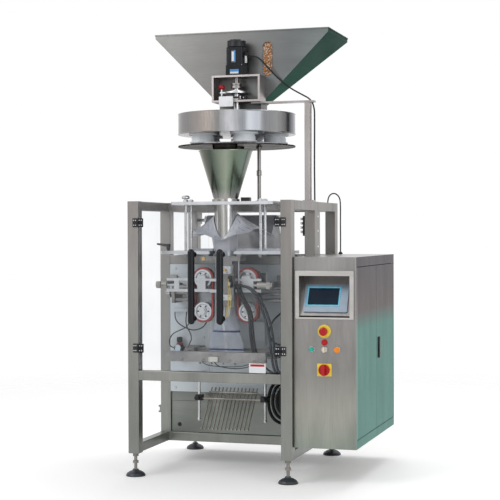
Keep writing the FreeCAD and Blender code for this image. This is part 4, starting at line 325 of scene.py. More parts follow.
RUBBER = paint("black_rubber", (0.010, 0.011, 0.013), (0.020, 0.021, 0.024), 0.5, bump=0.35, specular=0.3)
FOOT = paint("foot_plastic", (0.014, 0.018, 0.024), (0.030, 0.036, 0.046), 0.42, bump=0.2)
RED = paint("red_plastic", (0.38, 0.006, 0.010), (0.50, 0.014, 0.016), 0.28, bump=0.06, specular=0.3)
GREEN = paint("green_plastic", (0.015, 0.34, 0.24), (0.03, 0.44, 0.32), 0.28, bump=0.06, specular=0.3)
ORANGE = paint("orange_plastic", (0.78, 0.22, 0.012), (0.90, 0.30, 0.03), 0.28, bump=0.06, specular=0.3)
IVORY = paint("ivory_plastic", (0.62, 0.55, 0.42), (0.74, 0.68, 0.56), 0.30, bump=0.06, coat=0.2)
YELLOW = paint("yellow_plastic", (0.84, 0.60, 0.05), (0.92, 0.70, 0.10), 0.36, bump=0.08, specular=0.3)
# painted light: the cups' pale tone is raised to offset the shade between the discs
CUP = paint("cup_tone_painted_light", (0.80, 0.84, 0.88), (0.88, 0.91, 0.94), 0.42, bump=0.12)
BELT = paint("belt_rubber", (0.34, 0.045, 0.035), (0.46, 0.075, 0.055), 0.55, bump=0.4)
BELT_PLATE = turned_metal("belt_plate_metal", (0.20, 0.205, 0.215), (0.30, 0.305, 0.315), 0.36, "Z")
BRASS = turned_metal("brass", (0.55, 0.36, 0.12), (0.70, 0.48, 0.18), 0.24, "X")
STEM = turned_metal("threaded_stem", (0.15, 0.14, 0.13), (0.30, 0.285, 0.265), 0.38, "Z")
ROD_STEEL = turned_metal("dull_rod", (0.24, 0.225, 0.20), (0.44, 0.42, 0.38), 0.36, "Z")
CREAM = paint("cream_block", (0.72, 0.69, 0.62), (0.82, 0.79, 0.72), 0.42, bump=0.12)
BARREL = turned_metal("dull_barrel", (0.34, 0.325, 0.30), (0.46, 0.44, 0.41), 0.42, "X", 900.0, 0.6)
DUCT = paint("cable_duct", (0.26, 0.27, 0.28), (0.34, 0.35, 0.36), 0.5, bump=0.1)
GAUGE = paint("gauge_face", (0.50, 0.60, 0.68), (0.64, 0.73, 0.80), 0.3, bump=0.04)
HOSE = paint("dark_hose", (0.014, 0.018, 0.028), (0.030, 0.038, 0.056), 0.30, bump=0.05, specular=0.4)
AIR_TUBE = paint("tube_plastic", (0.012, 0.014, 0.020), (0.026, 0.030, 0.040), 0.3, bump=0.05)
FILM_ROLL = paint("wound_film", (0.58, 0.60, 0.68), (0.72, 0.73, 0.80), 0.25, bump=0.05, coat=0.4)
LABEL_BLUE = paint("label_blue", (0.04, 0.20, 0.48), (0.07, 0.28, 0.58), 0.35, bump=0.04)
LABEL_WHITE = paint("label_white", (0.66, 0.68, 0.70), (0.76, 0.78, 0.80), 0.4, bump=0.04)
COLLAR = paint("film_on_collar", (0.34, 0.34, 0.385), (0.50, 0.50, 0.55), 0.24, bump=0.04, coat=0.4)
ACRYLIC = clear_sheet("clear_acrylic", (0.80, 0.84, 0.88), 0.08, 0.012)
# painted reflection: greenish dark and light bands round the funnel
FUNNEL = mirror_steel("polished_cone", TUBE_Y, [
    (0.00, (0.10, 0.12, 0.09)), (0.10, (0.18, 0.18, 0.15)), (0.20, (0.08, 0.10, 0.08)),
    (0.30, (0.30, 0.34, 0.27)), (0.35, (0.15, 0.19, 0.14)), (0.42, (0.18, 0.23, 0.19)),
    (0.50, (0.18, 0.20, 0.18)), (0.60, (0.10, 0.12, 0.10)), (0.75, (0.24, 0.26, 0.23)),
    (1.00, (0.10, 0.12, 0.09))], 0.20, 0.03, (1.37, 1.43, (0.42, 0.40, 0.39)))
# painted reflection: dark bands and bright streaks round the drum, one of them warm
DRUM = mirror_steel("polished_drum", FILLER_Y, [
    (0.00, (0.16, 0.16, 0.16)), (0.15, (0.26, 0.25, 0.25)), (0.22, (0.40, 0.35, 0.32)),
    (0.25, (0.24, 0.24, 0.24)), (0.28, (0.62, 0.62, 0.65)), (0.31, (0.32, 0.34, 0.36)),
    (0.35, (0.20, 0.21, 0.23)), (0.41, (0.32, 0.32, 0.32)), (0.47, (0.08, 0.08, 0.09)),
    (0.52, (0.26, 0.27, 0.30)), (0.75, (0.40, 0.40, 0.42)), (1.00, (0.16, 0.16, 0.16))], 0.20, 0.03)
# painted reflection: bright streaks and dark bands round the forming tube
TUBE_STEEL = mirror_steel("polished_tube", TUBE_Y, [
    (0.00, (0.20, 0.20, 0.20)), (0.10, (0.22, 0.21, 0.20)), (0.17, (0.55, 0.54, 0.52)),
    (0.22, (0.20, 0.195, 0.185)), (0.27, (0.62, 0.60, 0.56)), (0.30, (0.27, 0.26, 0.25)),
    (0.34, (0.66, 0.66, 0.66)), (0.40, (0.22, 0.22, 0.225)), (0.48, (0.42, 0.42, 0.43)),
    (0.70, (0.20, 0.20, 0.20)), (0.85, (0.50, 0.50, 0.50)), (1.00, (0.20, 0.20, 0.20))], 0.20, 0.03)


def give(name, material):
    """One material for every slot of a CAD node."""
    slots = nodes[name].data.materials
    if not len(slots):
        slots.append(material)
    for i in range(len(slots)):
        slots[i] = material


for material, names in (
    (STEEL_Z, "frame"),
    (GREY_PAINT, "mounting_panel"),
    (BLACK, "fixed_hinge_leaves cabinet_handle chute_clamps regulator_knob clamp_lever"),
    (TUBE_STEEL, "forming_tube"),
    (COLLAR, "forming_collar"),
    (FUNNEL, "discharge_funnel"),
    (STEEL_X, "film_stand"),
    (ACRYLIC, "sight_window left_door_pane right_door_pane"),
    (BLACK_GLOSS, "filler_motor"),
    (SHADED_PLATE, "base_disc"),
    (CHROME, "chute_hanger_rods knife_blade"),
    (DOOR_STEEL, "cabinet_door_front cabinet_door_rear"),
    (RED, "emergency_stop_button main_switch_knob"),
    (GREEN, "start_button"),
    (ORANGE, "stop_button"),
    (IVORY, "selector_knob"),
    (DRUM, "turntable"),
    (CUP, "measuring_cups lower_cups"),
    (BELT, "left_belt right_belt"),
    (ALU, "upper_left_pulley lower_left_pulley upper_right_pulley lower_right_pulley dancer_arm "
          "guide_roller"),
    (DARK_STEEL, "adjusting_screw rear_jaw"),
    (FILM_ROLL, "film_roll"),
    (ROD_STEEL, "chute_grid")):
    for node_name in names.split():
        give(node_name, material)

# ---- camera, light, floor
AZ, PITCH, ROLL = math.radians(17.066), math.radians(0.746), math.radians(-0.175)
forward = Vector((-math.sin(AZ) * math.cos(PITCH), math.cos(AZ) * math.cos(PITCH), -math.sin(PITCH)))
right = Vector((math.cos(AZ), math.sin(AZ), 0))
up = right.cross(forward)
right, up = (right * math.cos(ROLL) + up * math.sin(ROLL), up * math.cos(ROLL) - right * math.sin(ROLL))
camera_data = bpy.data.cameras.new("camera")
camera = bpy.data.objects.new("camera", camera_data)
scene.collection.objects.link(camera)
rotation = Matrix((right, up, -forward)).transposed()
camera.matrix_world = Matrix.Translation(at(2147.2, -6300.8, 1206.0)) @ rotation.to_4x4()
camera_data.sensor_width = 36.0
camera_data.lens = 98.81
camera_data.clip_end = 100
scene.camera = camera


def background_rays(tree):
    """1 for camera, glossy and transmission rays, which see the bright background, and 0 for others."""
    path = tree.nodes.new("ShaderNodeLightPath")
    seen = path.outputs["Is Camera Ray"]
    for kind in ("Is Glossy Ray", "Is Transmission Ray"):
        highest = tree.nodes.new("ShaderNodeMath")
        highest.operation = "MAXIMUM"
        tree.links.new(seen, highest.inputs[0])
        tree.links.new(path.outputs[kind], highest.inputs[1])
        seen = highest.outputs[0]
    return seen


world = bpy.data.worlds.new("studio")
scene.world = world
world.use_nodes = True
world_tree = world.node_tree
background = world_tree.nodes["Background"]
strength = world_tree.nodes.new("ShaderNodeMapRange")
strength.inputs["To Min"].default_value = 0.55
strength.inputs["To Max"].default_value = 1.0
world_tree.links.new(background_rays(world_tree), strength.inputs["Value"])
world_tree.links.new(strength.outputs[0], background.inputs["Strength"])
background.inputs["Color"].default_value = (1, 1, 1, 1)


def area_light(name, place, target, size, power):
    data = bpy.data.lights.new(name, "AREA")
    data.shape = "RECTANGLE"
    data.size, data.size_y = size
    data.energy = power
    lamp = bpy.data.objects.new(name, data)
    scene.collection.objects.link(lamp)
    lamp.location = place
    lamp.rotation_euler = (target - place).to_track_quat("-Z", "Y").to_euler()


middle = at(150, 460, 1100)
area_light("key_light", middle + Vector((-3.4, -4.2, 3.2)), middle, (3.2, 3.2), 120)
area_light("fill_light", middle + Vector((4.2, -3.6, 1.2)), middle, (2.8, 3.4), 60)
area_light("top_light", middle + Vector((0.5, 2.2, 4.2)), middle, (3.0, 3.0), 110)

floor_mesh = bpy.data.meshes.new("floor")
bm = bmesh.new()
bmesh.ops.create_grid(bm, x_segments=12, y_segments=12, size=9.0)
bm.to_mesh(floor_mesh)
bm.free()
floor = bpy.data.objects.new("floor", floor_mesh)
scene.collection.objects.link(floor)
g = Graph("floor_paint")
soft = g.noise(g.scaled((1.2, 1.2, 1.2)), 1.0, 3.0, 0.5)
g.set(Base_Color=g.ramp(soft, [(0.3, (0.93, 0.93, 0.93)), (0.7, (0.97, 0.97, 0.97))]), Roughness=0.7)
FADE_FROM, FADE_TO = 1.6, 5.0  # metres from the middle, where the floor melts into the background
reach = g.tree.nodes.new("ShaderNodeVectorMath")
reach.operation = "LENGTH"
g.link(g.coord, reach.inputs[0])
clear = g.tree.nodes.new("ShaderNodeBsdfTransparent")
fading = g.tree.nodes.new("ShaderNodeMixShader")
g.link(g.span(reach.outputs["Value"], FADE_FROM, FADE_TO, 0.0, 1.0), fading.inputs[0])
g.link(g.bsdf.outputs[0], fading.inputs[1])
g.link(clear.outputs[0], fading.inputs[2])
g.link(fading.outputs[0], g.out.inputs[0])
g.link(g.math("MULTIPLY", background_rays(g.tree), 0.16), g.bsdf.inputs["Emission Strength"])
g.bsdf.inputs["Emission Color"].default_value = (1, 1, 1, 1)
floor_mesh.materials.append(g.mat)
scene.view_settings.view_transform = "Standard"

# ---- helpers for pieces
BODY = {node: body for body, held in frame["record"]["behaviour"]["bodies"].items() for node in held}


def piece(name, mesh_or_curve, body, material=None):
    """A new object that rides on a body."""
    obj = bpy.data.objects.new(name, mesh_or_curve)
    scene.collection.objects.link(obj)
    if material:
        mesh_or_curve.materials.append(material)
    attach(obj, body)
    return obj


def smooth_all(mesh):
    for polygon in mesh.polygons:
        polygon.use_smooth = True


def finished_mesh(name, bm, smooth):
    mesh = bpy.data.meshes.new(name)
    bmesh.ops.recalc_face_normals(bm, faces=bm.faces)
    bm.to_mesh(mesh)
    bm.free()
    if smooth:
        smooth_all(mesh)
    return mesh


def from_bmesh(name, bm, body, *materials, smooth=False):
    mesh = finished_mesh(name, bm, smooth)
    obj = piece(name, mesh, body)
    for material in materials:
        mesh.materials.append(material)
    return obj


def add_block(bm, low, high, bevel=0.0, index=0):
    """A block between two corners in machine millimetres, its edges softened by bevel (mm)."""
    a, b = at(*low), at(*high)
    before = set(bm.faces)
    made = bmesh.ops.create_cube(bm, size=1.0)
    for v in made["verts"]:
        v.co = Vector((a[i] + (b[i] - a[i]) * (v.co[i] + 0.5) for i in range(3)))
    if bevel:
        edges = {e for v in made["verts"] for e in v.link_edges}
        bmesh.ops.bevel(bm, geom=list(edges), offset=bevel / 1000, segments=2, profile=0.5, affect="EDGES")
    for f in bm.faces:
        if f not in before:
            f.material_index = index


def add_lathe(bm, start, direction, profile, segments=24, index=0):
    """A turned form along direction from start; profile is (distance along, radius) in mm."""
    axis = Vector(direction).normalized()
    side = axis.orthogonal().normalized()
    other = axis.cross(side)
    origin = at(*start)
    rings = []
    for along, radius in profile:
        ring = []
        for k in range(segments):
            angle = 2 * math.pi * k / segments
            offset = (side * math.cos(angle) + other * math.sin(angle)) * (max(radius, 0.01) / 1000)
            ring.append(bm.verts.new(origin + axis * (along / 1000) + offset))
        rings.append(ring)
    for a, b in zip(rings, rings[1:]):
        for k in range(segments):
            j = (k + 1) % segments
            bm.faces.new((a[k], a[j], b[j], b[k])).material_index = index
    bm.faces.new(list(reversed(rings[0]))).material_index = index
    bm.faces.new(rings[-1]).material_index = index


def add_screw(bm, place, direction, radius=4.0, height=2.5, index=0):
    """A domed socket screw head with its recess."""
    add_lathe(bm, place, direction, [(0, radius), (height * 0.6, radius), (height, radius * 0.8),
                                     (height, radius * 0.45), (height * 0.4, radius * 0.42)], 14, index)


def dressed(node, material, rules=()):
    """The node's own mesh with several materials: a rule is (low, high, material) in machine mm."""
    mesh = nodes[node].data.copy()
    mesh.materials.clear()
    mesh.materials.append(material)
    for _, _, other in rules:
        mesh.materials.append(other)
    index = [0] * len(mesh.polygons)
    boxes = [(at(*low), at(*high)) for low, high, _ in rules]
    for i, polygon in enumerate(mesh.polygons):
        c = polygon.center
        for k, (a, b) in enumerate(boxes):
            if all(a[j] <= c[j] <= b[j] for j in range(3)):
                index[i] = k + 1
    mesh.polygons.foreach_set("material_index", index)
    obj = piece(node + ".look", mesh, BODY[node])
    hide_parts(node)
    return obj


# ---- CAD nodes of more than one material
RX, RY = -302, 424  # the air regulator
dressed("levelling_feet", FOOT, [((-BIG, -BIG, 36), (BIG, BIG, 400), STEM)])
dressed("cover_panels", STEEL_X, [((-331, 430, 187), (-307, 490, 211), BLACK),
                                  ((-420, -60, 240), (-366, 520, 330), DARK_STEEL)])
dressed("air_regulator", BLACK, [((RX - 14, 380, 591), (RX + 14, 391.2, 619), GAUGE),
                                 ((RX - 17.2, 400, 618.2), (RX + 17.2, 450, 631.5), RED)])
dressed("clutch_lever", ALU, [((-95, 400, 1942.5), (-40, 480, 1975), RED)])
dressed("forming_stand", ALU, [((-BIG, -BIG, 1119), (BIG, BIG, 1337), CHROME),
                               ((60, 280, 1360.5), (130, 330, 1400), BLACK),
                               ((-320, 180, 1040), (320, 330, 1095), DARK_STEEL),
                               ((68, 200, 930), (104, 235, 950), BLACK)])
for side in ("left", "right"):
    dressed("belt_carriage_" + side, WHITE_PAINT, [((-BIG, 300, -BIG), (BIG, BIG, BIG), BELT_PLATE)])
dressed("panel_brackets", DARK_STEEL, [((-BIG, 180, 900), (BIG, 285, 975), BARREL)])
for side in ("left", "right"):
    dressed(side + "_door_fittings", BLACK_GLOSS)

# ---- cables, hoses and air tubes
# the routes are those of the solid cables and tubes, in machine millimetres
TOP, ARM, FRAME_TOP, CABINET_TOP = 2013, 1875, 1360, 1086
REAR = 890
CLIP = 934


def cord_piece(name, route, radius, material, body="machine", around=3):
    """A free cord through a route; around is how finely its section is cut."""
    curve = bpy.data.curves.new(name, "CURVE")
    curve.dimensions = "3D"
    spline = curve.splines.new("NURBS")
    spline.points.add(len(route) - 1)
    for point, place in zip(spline.points, route):
        point.co = (*at(*place), 1.0)
    spline.order_u = 3
    spline.use_endpoint_u = True
    spline.resolution_u = 10
    curve.bevel_depth = radius / 1000
    curve.bevel_resolution = around
    curve.use_fill_caps = True
    obj = piece(name, curve, body, material)
    return obj


cord_piece("motor_cable", [(x, FILLER_Y + dy, z) for x, dy, z in (
    (64.7, 0, TOP + 105), (110, 2, TOP + 99), (150, 14, TOP + 55), (190, 34, TOP + 7),
    (232, 52, TOP - 35), (276, 53, TOP - 69), (330, 53, ARM + 39), (382, 53, ARM + 11),
    (401, 52, ARM - 35), (402, 49, ARM - 95), (402, 48, ARM - 175), (402, 45, ARM - 265),
    (402, 44, ARM - 355), (402, 48, FRAME_TOP + 80), (402, 49, FRAME_TOP + 1))], 4, RUBBER)
cord_piece("cabinet_cable", [
    (384, REAR - 22, FRAME_TOP + 1), (384, REAR - 20, 1395), (412, REAR - 4, 1418),
    (442, REAR + 10, 1396), (446, REAR + 14, 1348), (444, REAR + 16, 1250), (445, REAR + 17, 1170),
    (444, REAR + 18, CABINET_TOP + 13.5)], 3.5, RUBBER)
cord_piece("sensor_cable", [(250, PANEL_FRONT - 4, 800), (244, 420, 790), (214, 400, 760), (190, 396, 712),
    (196, 400, 660), (232, 418, 628), (268, 430, 640), (290, PANEL_FRONT - 5, 664)], 5, RUBBER)
cord_piece("lower_hose", [(300, PANEL_FRONT - 3, 470), (296, 420, 460), (276, 376, 442), (264, 352, 400),
    (260, 344, 350), (266, 346, 290), (282, 366, 246), (306, 400, 224), (340, 424, 214), (378, 434, 210),
    (419, 434, 206)], 6, BLACK_GLOSS)
for name, dx, dy, lift, radius, length in (("bundle_cable_a", 0, 0, 0, 6, 674),
                                           ("bundle_cable_b", 9, 11, 11, 5, 655),
                                           ("bundle_cable_c", -9, 9, 0, 4, 663)):
    low, fan = CLIP + lift, 1.6 * dx
    route = [(x + dx, y + dy, CLIP + z) for x, y, z in (
        (85, 214, -1.2), (91, 214, -38), (114, 209, -72), (138, 205, -108), (150, 204, -150),
        (153, 205, -222), (160, 206, -290))]
    route += [(172 + dx, 210 + dy, low - 350), (196 + dx, 226 + dy, low - 402)]
    route += [(222 + fan, 262 + dy, low - 440), (240 + fan, 320 + dy, low - 458),
              (246 + fan, 380 + dy, low - 464), (247 + fan, PANEL_FRONT - 3, low - 464)]
    cord_piece(name, route, radius, RUBBER)
regulator_tube = cord_piece("regulator_tube", [(RX - 27.8, RY, 605), (RX - 46, RY, 606), (RX - 57, RY, 621),
    (RX - 58, RY - 1, 646), (RX - 40, RY - 2, 676), (RX - 4, RY - 4, 694), (RX + 34, RY - 2, 709),
    (RX + 58, RY + 4, 742), (RX + 60, RY + 8, 792)], 3, AIR_TUBE)
cord_piece("jaw_tube", [(RX + 28, RY, 605), (RX + 47, RY - 5, 606), (RX + 60, RY - 13, 632),
    (RX + 76, RY - 20, 658), (RX + 62, RY - 21, 692), (RX + 42, RY - 18, 724), (RX + 36, RY - 6, 758),
    (RX + 36, RY + 7, 792)], 3, AIR_TUBE)
cord_piece("cross_tube", [(-330, RY + 8, 792), (-330, RY, 762), (-306, RY - 10, 732),
    (-270, RY - 12, 712), (-232, RY - 12, 698), (-194, RY - 6, 702), (-164, RY + 10, 722),
    (-156, PANEL_FRONT - 3, 756)], 3, AIR_TUBE)
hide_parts("air_tubes")

# more hoses of the bundle and of the coil at the lower right, and the leads under the front jaw
cord_piece("bundle_hose_a", [(98, 226, 938), (128, 220, 936), (160, 212, 914), (184, 207, 880),
    (205, 205, 838), (224, 205, 790), (239, 206, 740), (248, 208, 690), (253, 212, 640), (256, 222, 585),
    (257, 244, 535), (257, 290, 502), (257, 360, 489), (257, 449, 486)],
    6.5, HOSE)
cord_piece("bundle_hose_b", [(98, 240, 936), (132, 236, 934), (168, 228, 910), (196, 222, 876),
    (218, 220, 836), (238, 220, 790), (253, 221, 740), (262, 223, 690), (267, 227, 640), (270, 236, 585),
    (271, 256, 535), (271, 300, 502), (271, 365, 490), (271, 449, 487)],
    6.5, HOSE)
cord_piece("coil_hose_a", [(250, 449, 452), (226, 424, 448), (202, 404, 420), (191, 398, 382),
    (187, 396, 345), (190, 396, 308), (201, 398, 272), (222, 402, 246), (248, 412, 232), (276, 436, 227),
    (300, 462.5, 226)],
    8, BLACK_GLOSS)
cord_piece("coil_hose_b", [(268, 449, 440), (244, 424, 436), (222, 406, 410), (211, 401, 376),
    (208, 400, 345), (211, 400, 314), (221, 402, 284), (240, 408, 262), (264, 418, 250), (290, 440, 245),
    (312, 462.5, 244)],
    8, BLACK_GLOSS)
cord_piece("coil_hose_c", [(286, 449, 428), (264, 424, 424), (243, 410, 400), (232, 406, 372),
    (229, 405, 345), (232, 405, 320), (241, 408, 298), (258, 414, 280), (280, 424, 270), (304, 444, 265),
    (324, 462.5, 264)],
    8, BLACK_GLOSS)
cord_piece("jaw_lead_a", [(0, 92, 568.5), (10, 86, 552), (60, 82, 541), (120, 82, 538), (170, 86, 546),
    (194, 96, 558), (200, 108, 566.5)],
    2.4, RUBBER, "front_cross_jaw")
cord_piece("jaw_lead_b", [(-64, 92, 568.5), (-50, 86, 556), (-6, 84, 548), (60, 88, 546), (130, 88, 548),
    (176, 98, 558), (186, 112, 566.5)],
    2.0, RUBBER, "front_cross_jaw")

bm = bmesh.new()
add_lathe(bm, (444, REAR + 18, CABINET_TOP), (0, 0, 1),
          [(0, 12), (6, 12), (6.5, 9.5), (8, 9), (13, 7), (13, 4)], 20)
gland = from_bmesh("cable_gland", bm, "machine", BLACK)
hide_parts("cables")

# ---- hinges, handles and their screws
POST_INNER = 364  # half the clear width between the front posts
HINGES = (636, 1254)
HANDLE_SCREWS = (787, 1098)
HANDLE_X = 73

bm = bmesh.new()
for side in (-1, 1):
    for z in HINGES:
        for dx in (11, 21):
            for dz in (-12, 12):
                add_screw(bm, (side * (POST_INNER + dx), -6, z + dz), (0, -1, 0), 3.0, 0.9)
from_bmesh("post_hinge_screws", bm, "machine", CHROME)
for side, body in ((-1, "left_door"), (1, "right_door")):
    bm = bmesh.new()
    for z in HINGES:
        for dx in (9, 20):
            for dz in (-12, 12):
                add_screw(bm, (side * (POST_INNER - dx), -6.2, z + dz), (0, -1, 0), 3.0, 0.9)
    for z in HANDLE_SCREWS:
        add_lathe(bm, (side * HANDLE_X, 13, z), (0, 1, 0), [(0, 6.5), (1.2, 6.2), (1.6, 4.5), (1.6, 2)], 18)
    from_bmesh(body + "_screws", bm, body, CHROME)
    bm = bmesh.new()
    add_lathe(bm, (side * HANDLE_X, -41, 1124.6), (0, 0, 1), [(0, 9), (0.2, 9), (0.35, 4)], 20)
    from_bmesh(body + "_handle_cap", bm, body, CHROME)

# ---- cabinet: side faces, polished recess rim with a painted highlight
CABINET_SIDE = 720  # past this X, faces that look sideways are the cabinet's door side

# painted highlight: the raised rim round the recess is polished steel, its lighter tone standing in for the
# light it catches
RIM_HIGHLIGHT = steel("polished_rim_highlight", (0.52, 0.505, 0.485), 0.20, "X", 0.24)
shell = dressed("cabinet_shell", CABINET, [((430, 10, 780), (715, 29.9, 1015), RIM_HIGHLIGHT)])
# the sideways faces take the door steel with its painted green floor reflection
shell.data.materials.append(DOOR_STEEL)
for polygon in shell.data.polygons:
    if abs(polygon.normal.x) > 0.9 and polygon.center.x > at(CABINET_SIDE, 0, 0).x:
        polygon.material_index = 2

# ---- control face
mid_x = 420 + 307 / 2 - 1  # middle of the cabinet's front
dressed("control_fittings", YELLOW, [
    ((mid_x - 16, 0, 665), (mid_x + 16, 60, 697), RED),
    ((mid_x - 90, 10, 625), (mid_x + 90, 100, 664.9), CHROME),
    ((mid_x - 40, 32, 500), (mid_x + 40, 200, 800), BLACK)])
SCREEN_GLASS = paint("screen_glass", (0.006, 0.015, 0.030), (0.012, 0.024, 0.042), 0.16, bump=0.0,
                     specular=0.12)
SCREEN_BORDER = paint("screen_border", (0.10, 0.46, 0.66), (0.18, 0.60, 0.80), 0.30, bump=0.03)
BEZEL = paint("screen_bezel", (0.22, 0.27, 0.34), (0.30, 0.36, 0.43), 0.34, metallic=0.5, bump=0.06)


def islands(mesh):
    """Lists of polygons, one for each separate solid in a mesh."""
    parent = list(range(len(mesh.vertices)))

    def root(i):
        while parent[i] != i:
            parent[i] = parent[parent[i]]
            i = parent[i]
        return i

    seen = {}
    for i, v in enumerate(mesh.vertices):
        key = tuple(round(c, 6) for c in v.co)
        if key in seen:
            parent[root(i)] = root(seen[key])
        seen[key] = i
    for polygon in mesh.polygons:
        first = root(polygon.vertices[0])
        for k in polygon.vertices[1:]:
            parent[root(k)] = first
    groups = {}
    for polygon in mesh.polygons:
        groups.setdefault(root(polygon.vertices[0]), []).append(polygon.index)
    return list(groups.values())


# the glass is the separate solid with the fewest faces, and it leans back with the panel
SCREEN_TILT = math.atan2(95, 197)
hmi_mesh = dressed("hmi_panel", BEZEL).data
hmi_mesh.materials.append(SCREEN_GLASS)
hmi_mesh.materials.append(BLACK)
glass = min(islands(hmi_mesh), key=len)
for i in glass:
    hmi_mesh.polygons[i].material_index = 1
glass_points = [hmi_mesh.vertices[k].co for i in glass for k in hmi_mesh.polygons[i].vertices]
normal = Vector((0, -math.cos(SCREEN_TILT), math.sin(SCREEN_TILT)))
width_axis = Vector((1, 0, 0))
height_axis = normal.cross(width_axis)
if height_axis.z < 0:
    height_axis = -height_axis
center = sum(glass_points, Vector()) / len(glass_points)
us = [(p - center).dot(width_axis) for p in glass_points]
vs = [(p - center).dot(height_axis) for p in glass_points]
u0, u1, v0, v1 = min(us), max(us), min(vs), max(vs)
top_n = max((p - center).dot(normal) for p in glass_points)


def on_screen(u, v, n):
    """A point n metres above the glass, at u across and v up from its middle."""
    return center + width_axis * u + height_axis * v + normal * (top_n + n)


bm = bmesh.new()
rings = []
for inset, n in ((0.0005, 0.0001), (0.0005, 0.0007), (0.0075, 0.0007), (0.0085, 0.0002)):
    corners = ((u0 + inset, v0 + inset), (u1 - inset, v0 + inset),
               (u1 - inset, v1 - inset), (u0 + inset, v1 - inset))
    rings.append([bm.verts.new(on_screen(u, v, n)) for u, v in corners])
for a, b in zip(rings, rings[1:]):
    for k in range(4):
        j = (k + 1) % 4
        bm.faces.new((a[k], a[j], b[j], b[k]))
from_bmesh("screen_border", bm, "machine", SCREEN_BORDER)

# ---- filler motor and bracket
MOTOR_TRIM = paint("motor_trim", (0.020, 0.021, 0.024), (0.040, 0.042, 0.046), 0.35, bump=0.15)
bm = bmesh.new()
for i in range(6):
    add_lathe(bm, (0, FILLER_Y, 2163 + i * 5.2), (0, 0, 1),
              [(0, 46.5), (0.6, 48.2), (2.0, 48.2), (2.6, 46.5)], 40)
for sx in (-1, 1):
    for sy in (-1, 1):
        add_screw(bm, (sx * 38, FILLER_Y + sy * 38, 2064.8), (0, 0, 1), 4.2, 2.6, 1)
from_bmesh("fan_cover_ribs", bm, "machine", MOTOR_TRIM, CHROME)
bm = bmesh.new()
motor_front = FILLER_Y - 46
add_block(bm, (-14, motor_front - 0.9, 2076), (10, motor_front + 2, 2142), 0.4, 0)
add_block(bm, (-12, motor_front - 1.1, 2084), (0, motor_front - 0.7, 2134), 0.1, 1)
add_block(bm, (0, motor_front - 1.1, 2080), (8, motor_front - 0.7, 2139), 0.1, 2)
add_block(bm, (-22, motor_front - 0.9, 2019), (26, motor_front + 1, 2043), 0.4, 2)
add_block(bm, (-20, motor_front - 1.1, 2021), (24, motor_front - 0.7, 2030), 0.1, 1)
add_block(bm, (50, FILLER_Y - 20, 2076), (60, FILLER_Y - 9, 2112), 1.5, 1)
from_bmesh("bare_motor_labels", bm, "machine", MOTOR_TRIM, LABEL_WHITE, LABEL_BLUE)

bm = bmesh.new()
for i in range(4):
    a = math.radians(45 + 90 * i)
    add_lathe(bm, (39 * math.cos(a), FILLER_Y + 39 * math.sin(a), 1893), (0, 0, 1),
              [(0, 7), (4, 7), (5.5, 5), (7, 4), (13, 4), (13, 2)], 12, 1)
add_block(bm, (-60, FILLER_Y - 44, 1886), (-50, FILLER_Y - 20, 1911), 1.5, 0)
add_block(bm, (52, FILLER_Y - 40, 1886), (62, FILLER_Y - 12, 1908), 1.5, 0)
from_bmesh("bearing_fasteners", bm, "machine", BLACK, CHROME)
dressed("filler_support", FILLER_STEEL, [
    ((-60, 425, 1885.5), (60, 520, 1920), BLACK),
    ((-77, 400, 1845), (1, 419.9, 1910), ALU),
    ((-150, 440, 1361), (150, 520, 1645), STEEL_Z)])
dressed("filler_shaft", CHROME, [((-40, 430, 1945), (40, 500, 1975), DARK_STEEL),
                                 ((-20, 440, 1974), (20, 500, 2012), DARK_STEEL)])

# ---- product behind the sight window
WINDOW_X, WINDOW_ARCH, WINDOW_RADIUS = 148.5, 2166, 23  # middle, height where its round top starts
random.seed(7)
GRAINS = [paint("product_" + name, dark, light, 0.5, grain=120, bump=0.3, cloud=150)
          for name, dark, light in (("orange", (0.72, 0.26, 0.04), (0.95, 0.42, 0.09)),
                                    ("pale", (0.95, 0.78, 0.58), (1.0, 0.92, 0.80)),
                                    ("brown", (0.34, 0.11, 0.02), (0.55, 0.20, 0.04)))]
bm = bmesh.new()
template = bmesh.new()
bmesh.ops.create_icosphere(template, subdivisions=1, radius=1.0)
shape = [v.co.copy() for v in template.verts]
faces = [[v.index for v in f.verts] for f in template.faces]
template.free()
for row in range(27):
    for column in range(8):
        x = WINDOW_X - 23 + column * 6.6 + random.uniform(-1.6, 1.6) + (row % 2) * 3
        z = 2021 + row * 6.2 + random.uniform(-1.4, 1.4)
        if abs(x - WINDOW_X) > 25:
            continue
        if z > WINDOW_ARCH and (x - WINDOW_X) ** 2 + (z - WINDOW_ARCH) ** 2 > WINDOW_RADIUS ** 2:
            continue
        place = at(x, 536.5 + random.uniform(-1.2, 1.2), z)
        roll = Matrix.Rotation(random.uniform(0, 6.28), 3, "Y")
        turn = roll @ Matrix.Rotation(random.uniform(-0.6, 0.6), 3, "X")
        size = Vector((random.uniform(3.4, 4.6), random.uniform(2.4, 3.0), random.uniform(2.6, 3.6))) / 1000
        kind = random.choice((0, 0, 0, 1, 1, 2))
        verts = [bm.verts.new(place + turn @ (c * size)) for c in shape]
        for f in faces:
            bm.faces.new([verts[k] for k in f]).material_index = kind
from_bmesh("product_grains", bm, "machine", *GRAINS, smooth=True)
bm = bmesh.new()
add_block(bm, (122, 539, 2016), (175, 548, 2192), 6)
HEAP = paint("product_heap", (0.16, 0.055, 0.015), (0.40, 0.15, 0.035), 0.8, grain=260, bump=0.8)
from_bmesh("product_heap", bm, "machine", HEAP)

# ---- hopper, its ends in the side steel with a painted green reflection
hopper = dressed("hopper", HOPPER)
hopper.data.materials.append(HOPPER_SIDE)
for polygon in hopper.data.polygons:
    if abs(polygon.normal.x) > 0.35 and abs(polygon.center.x - OX) > 0.12:
        polygon.material_index = 1

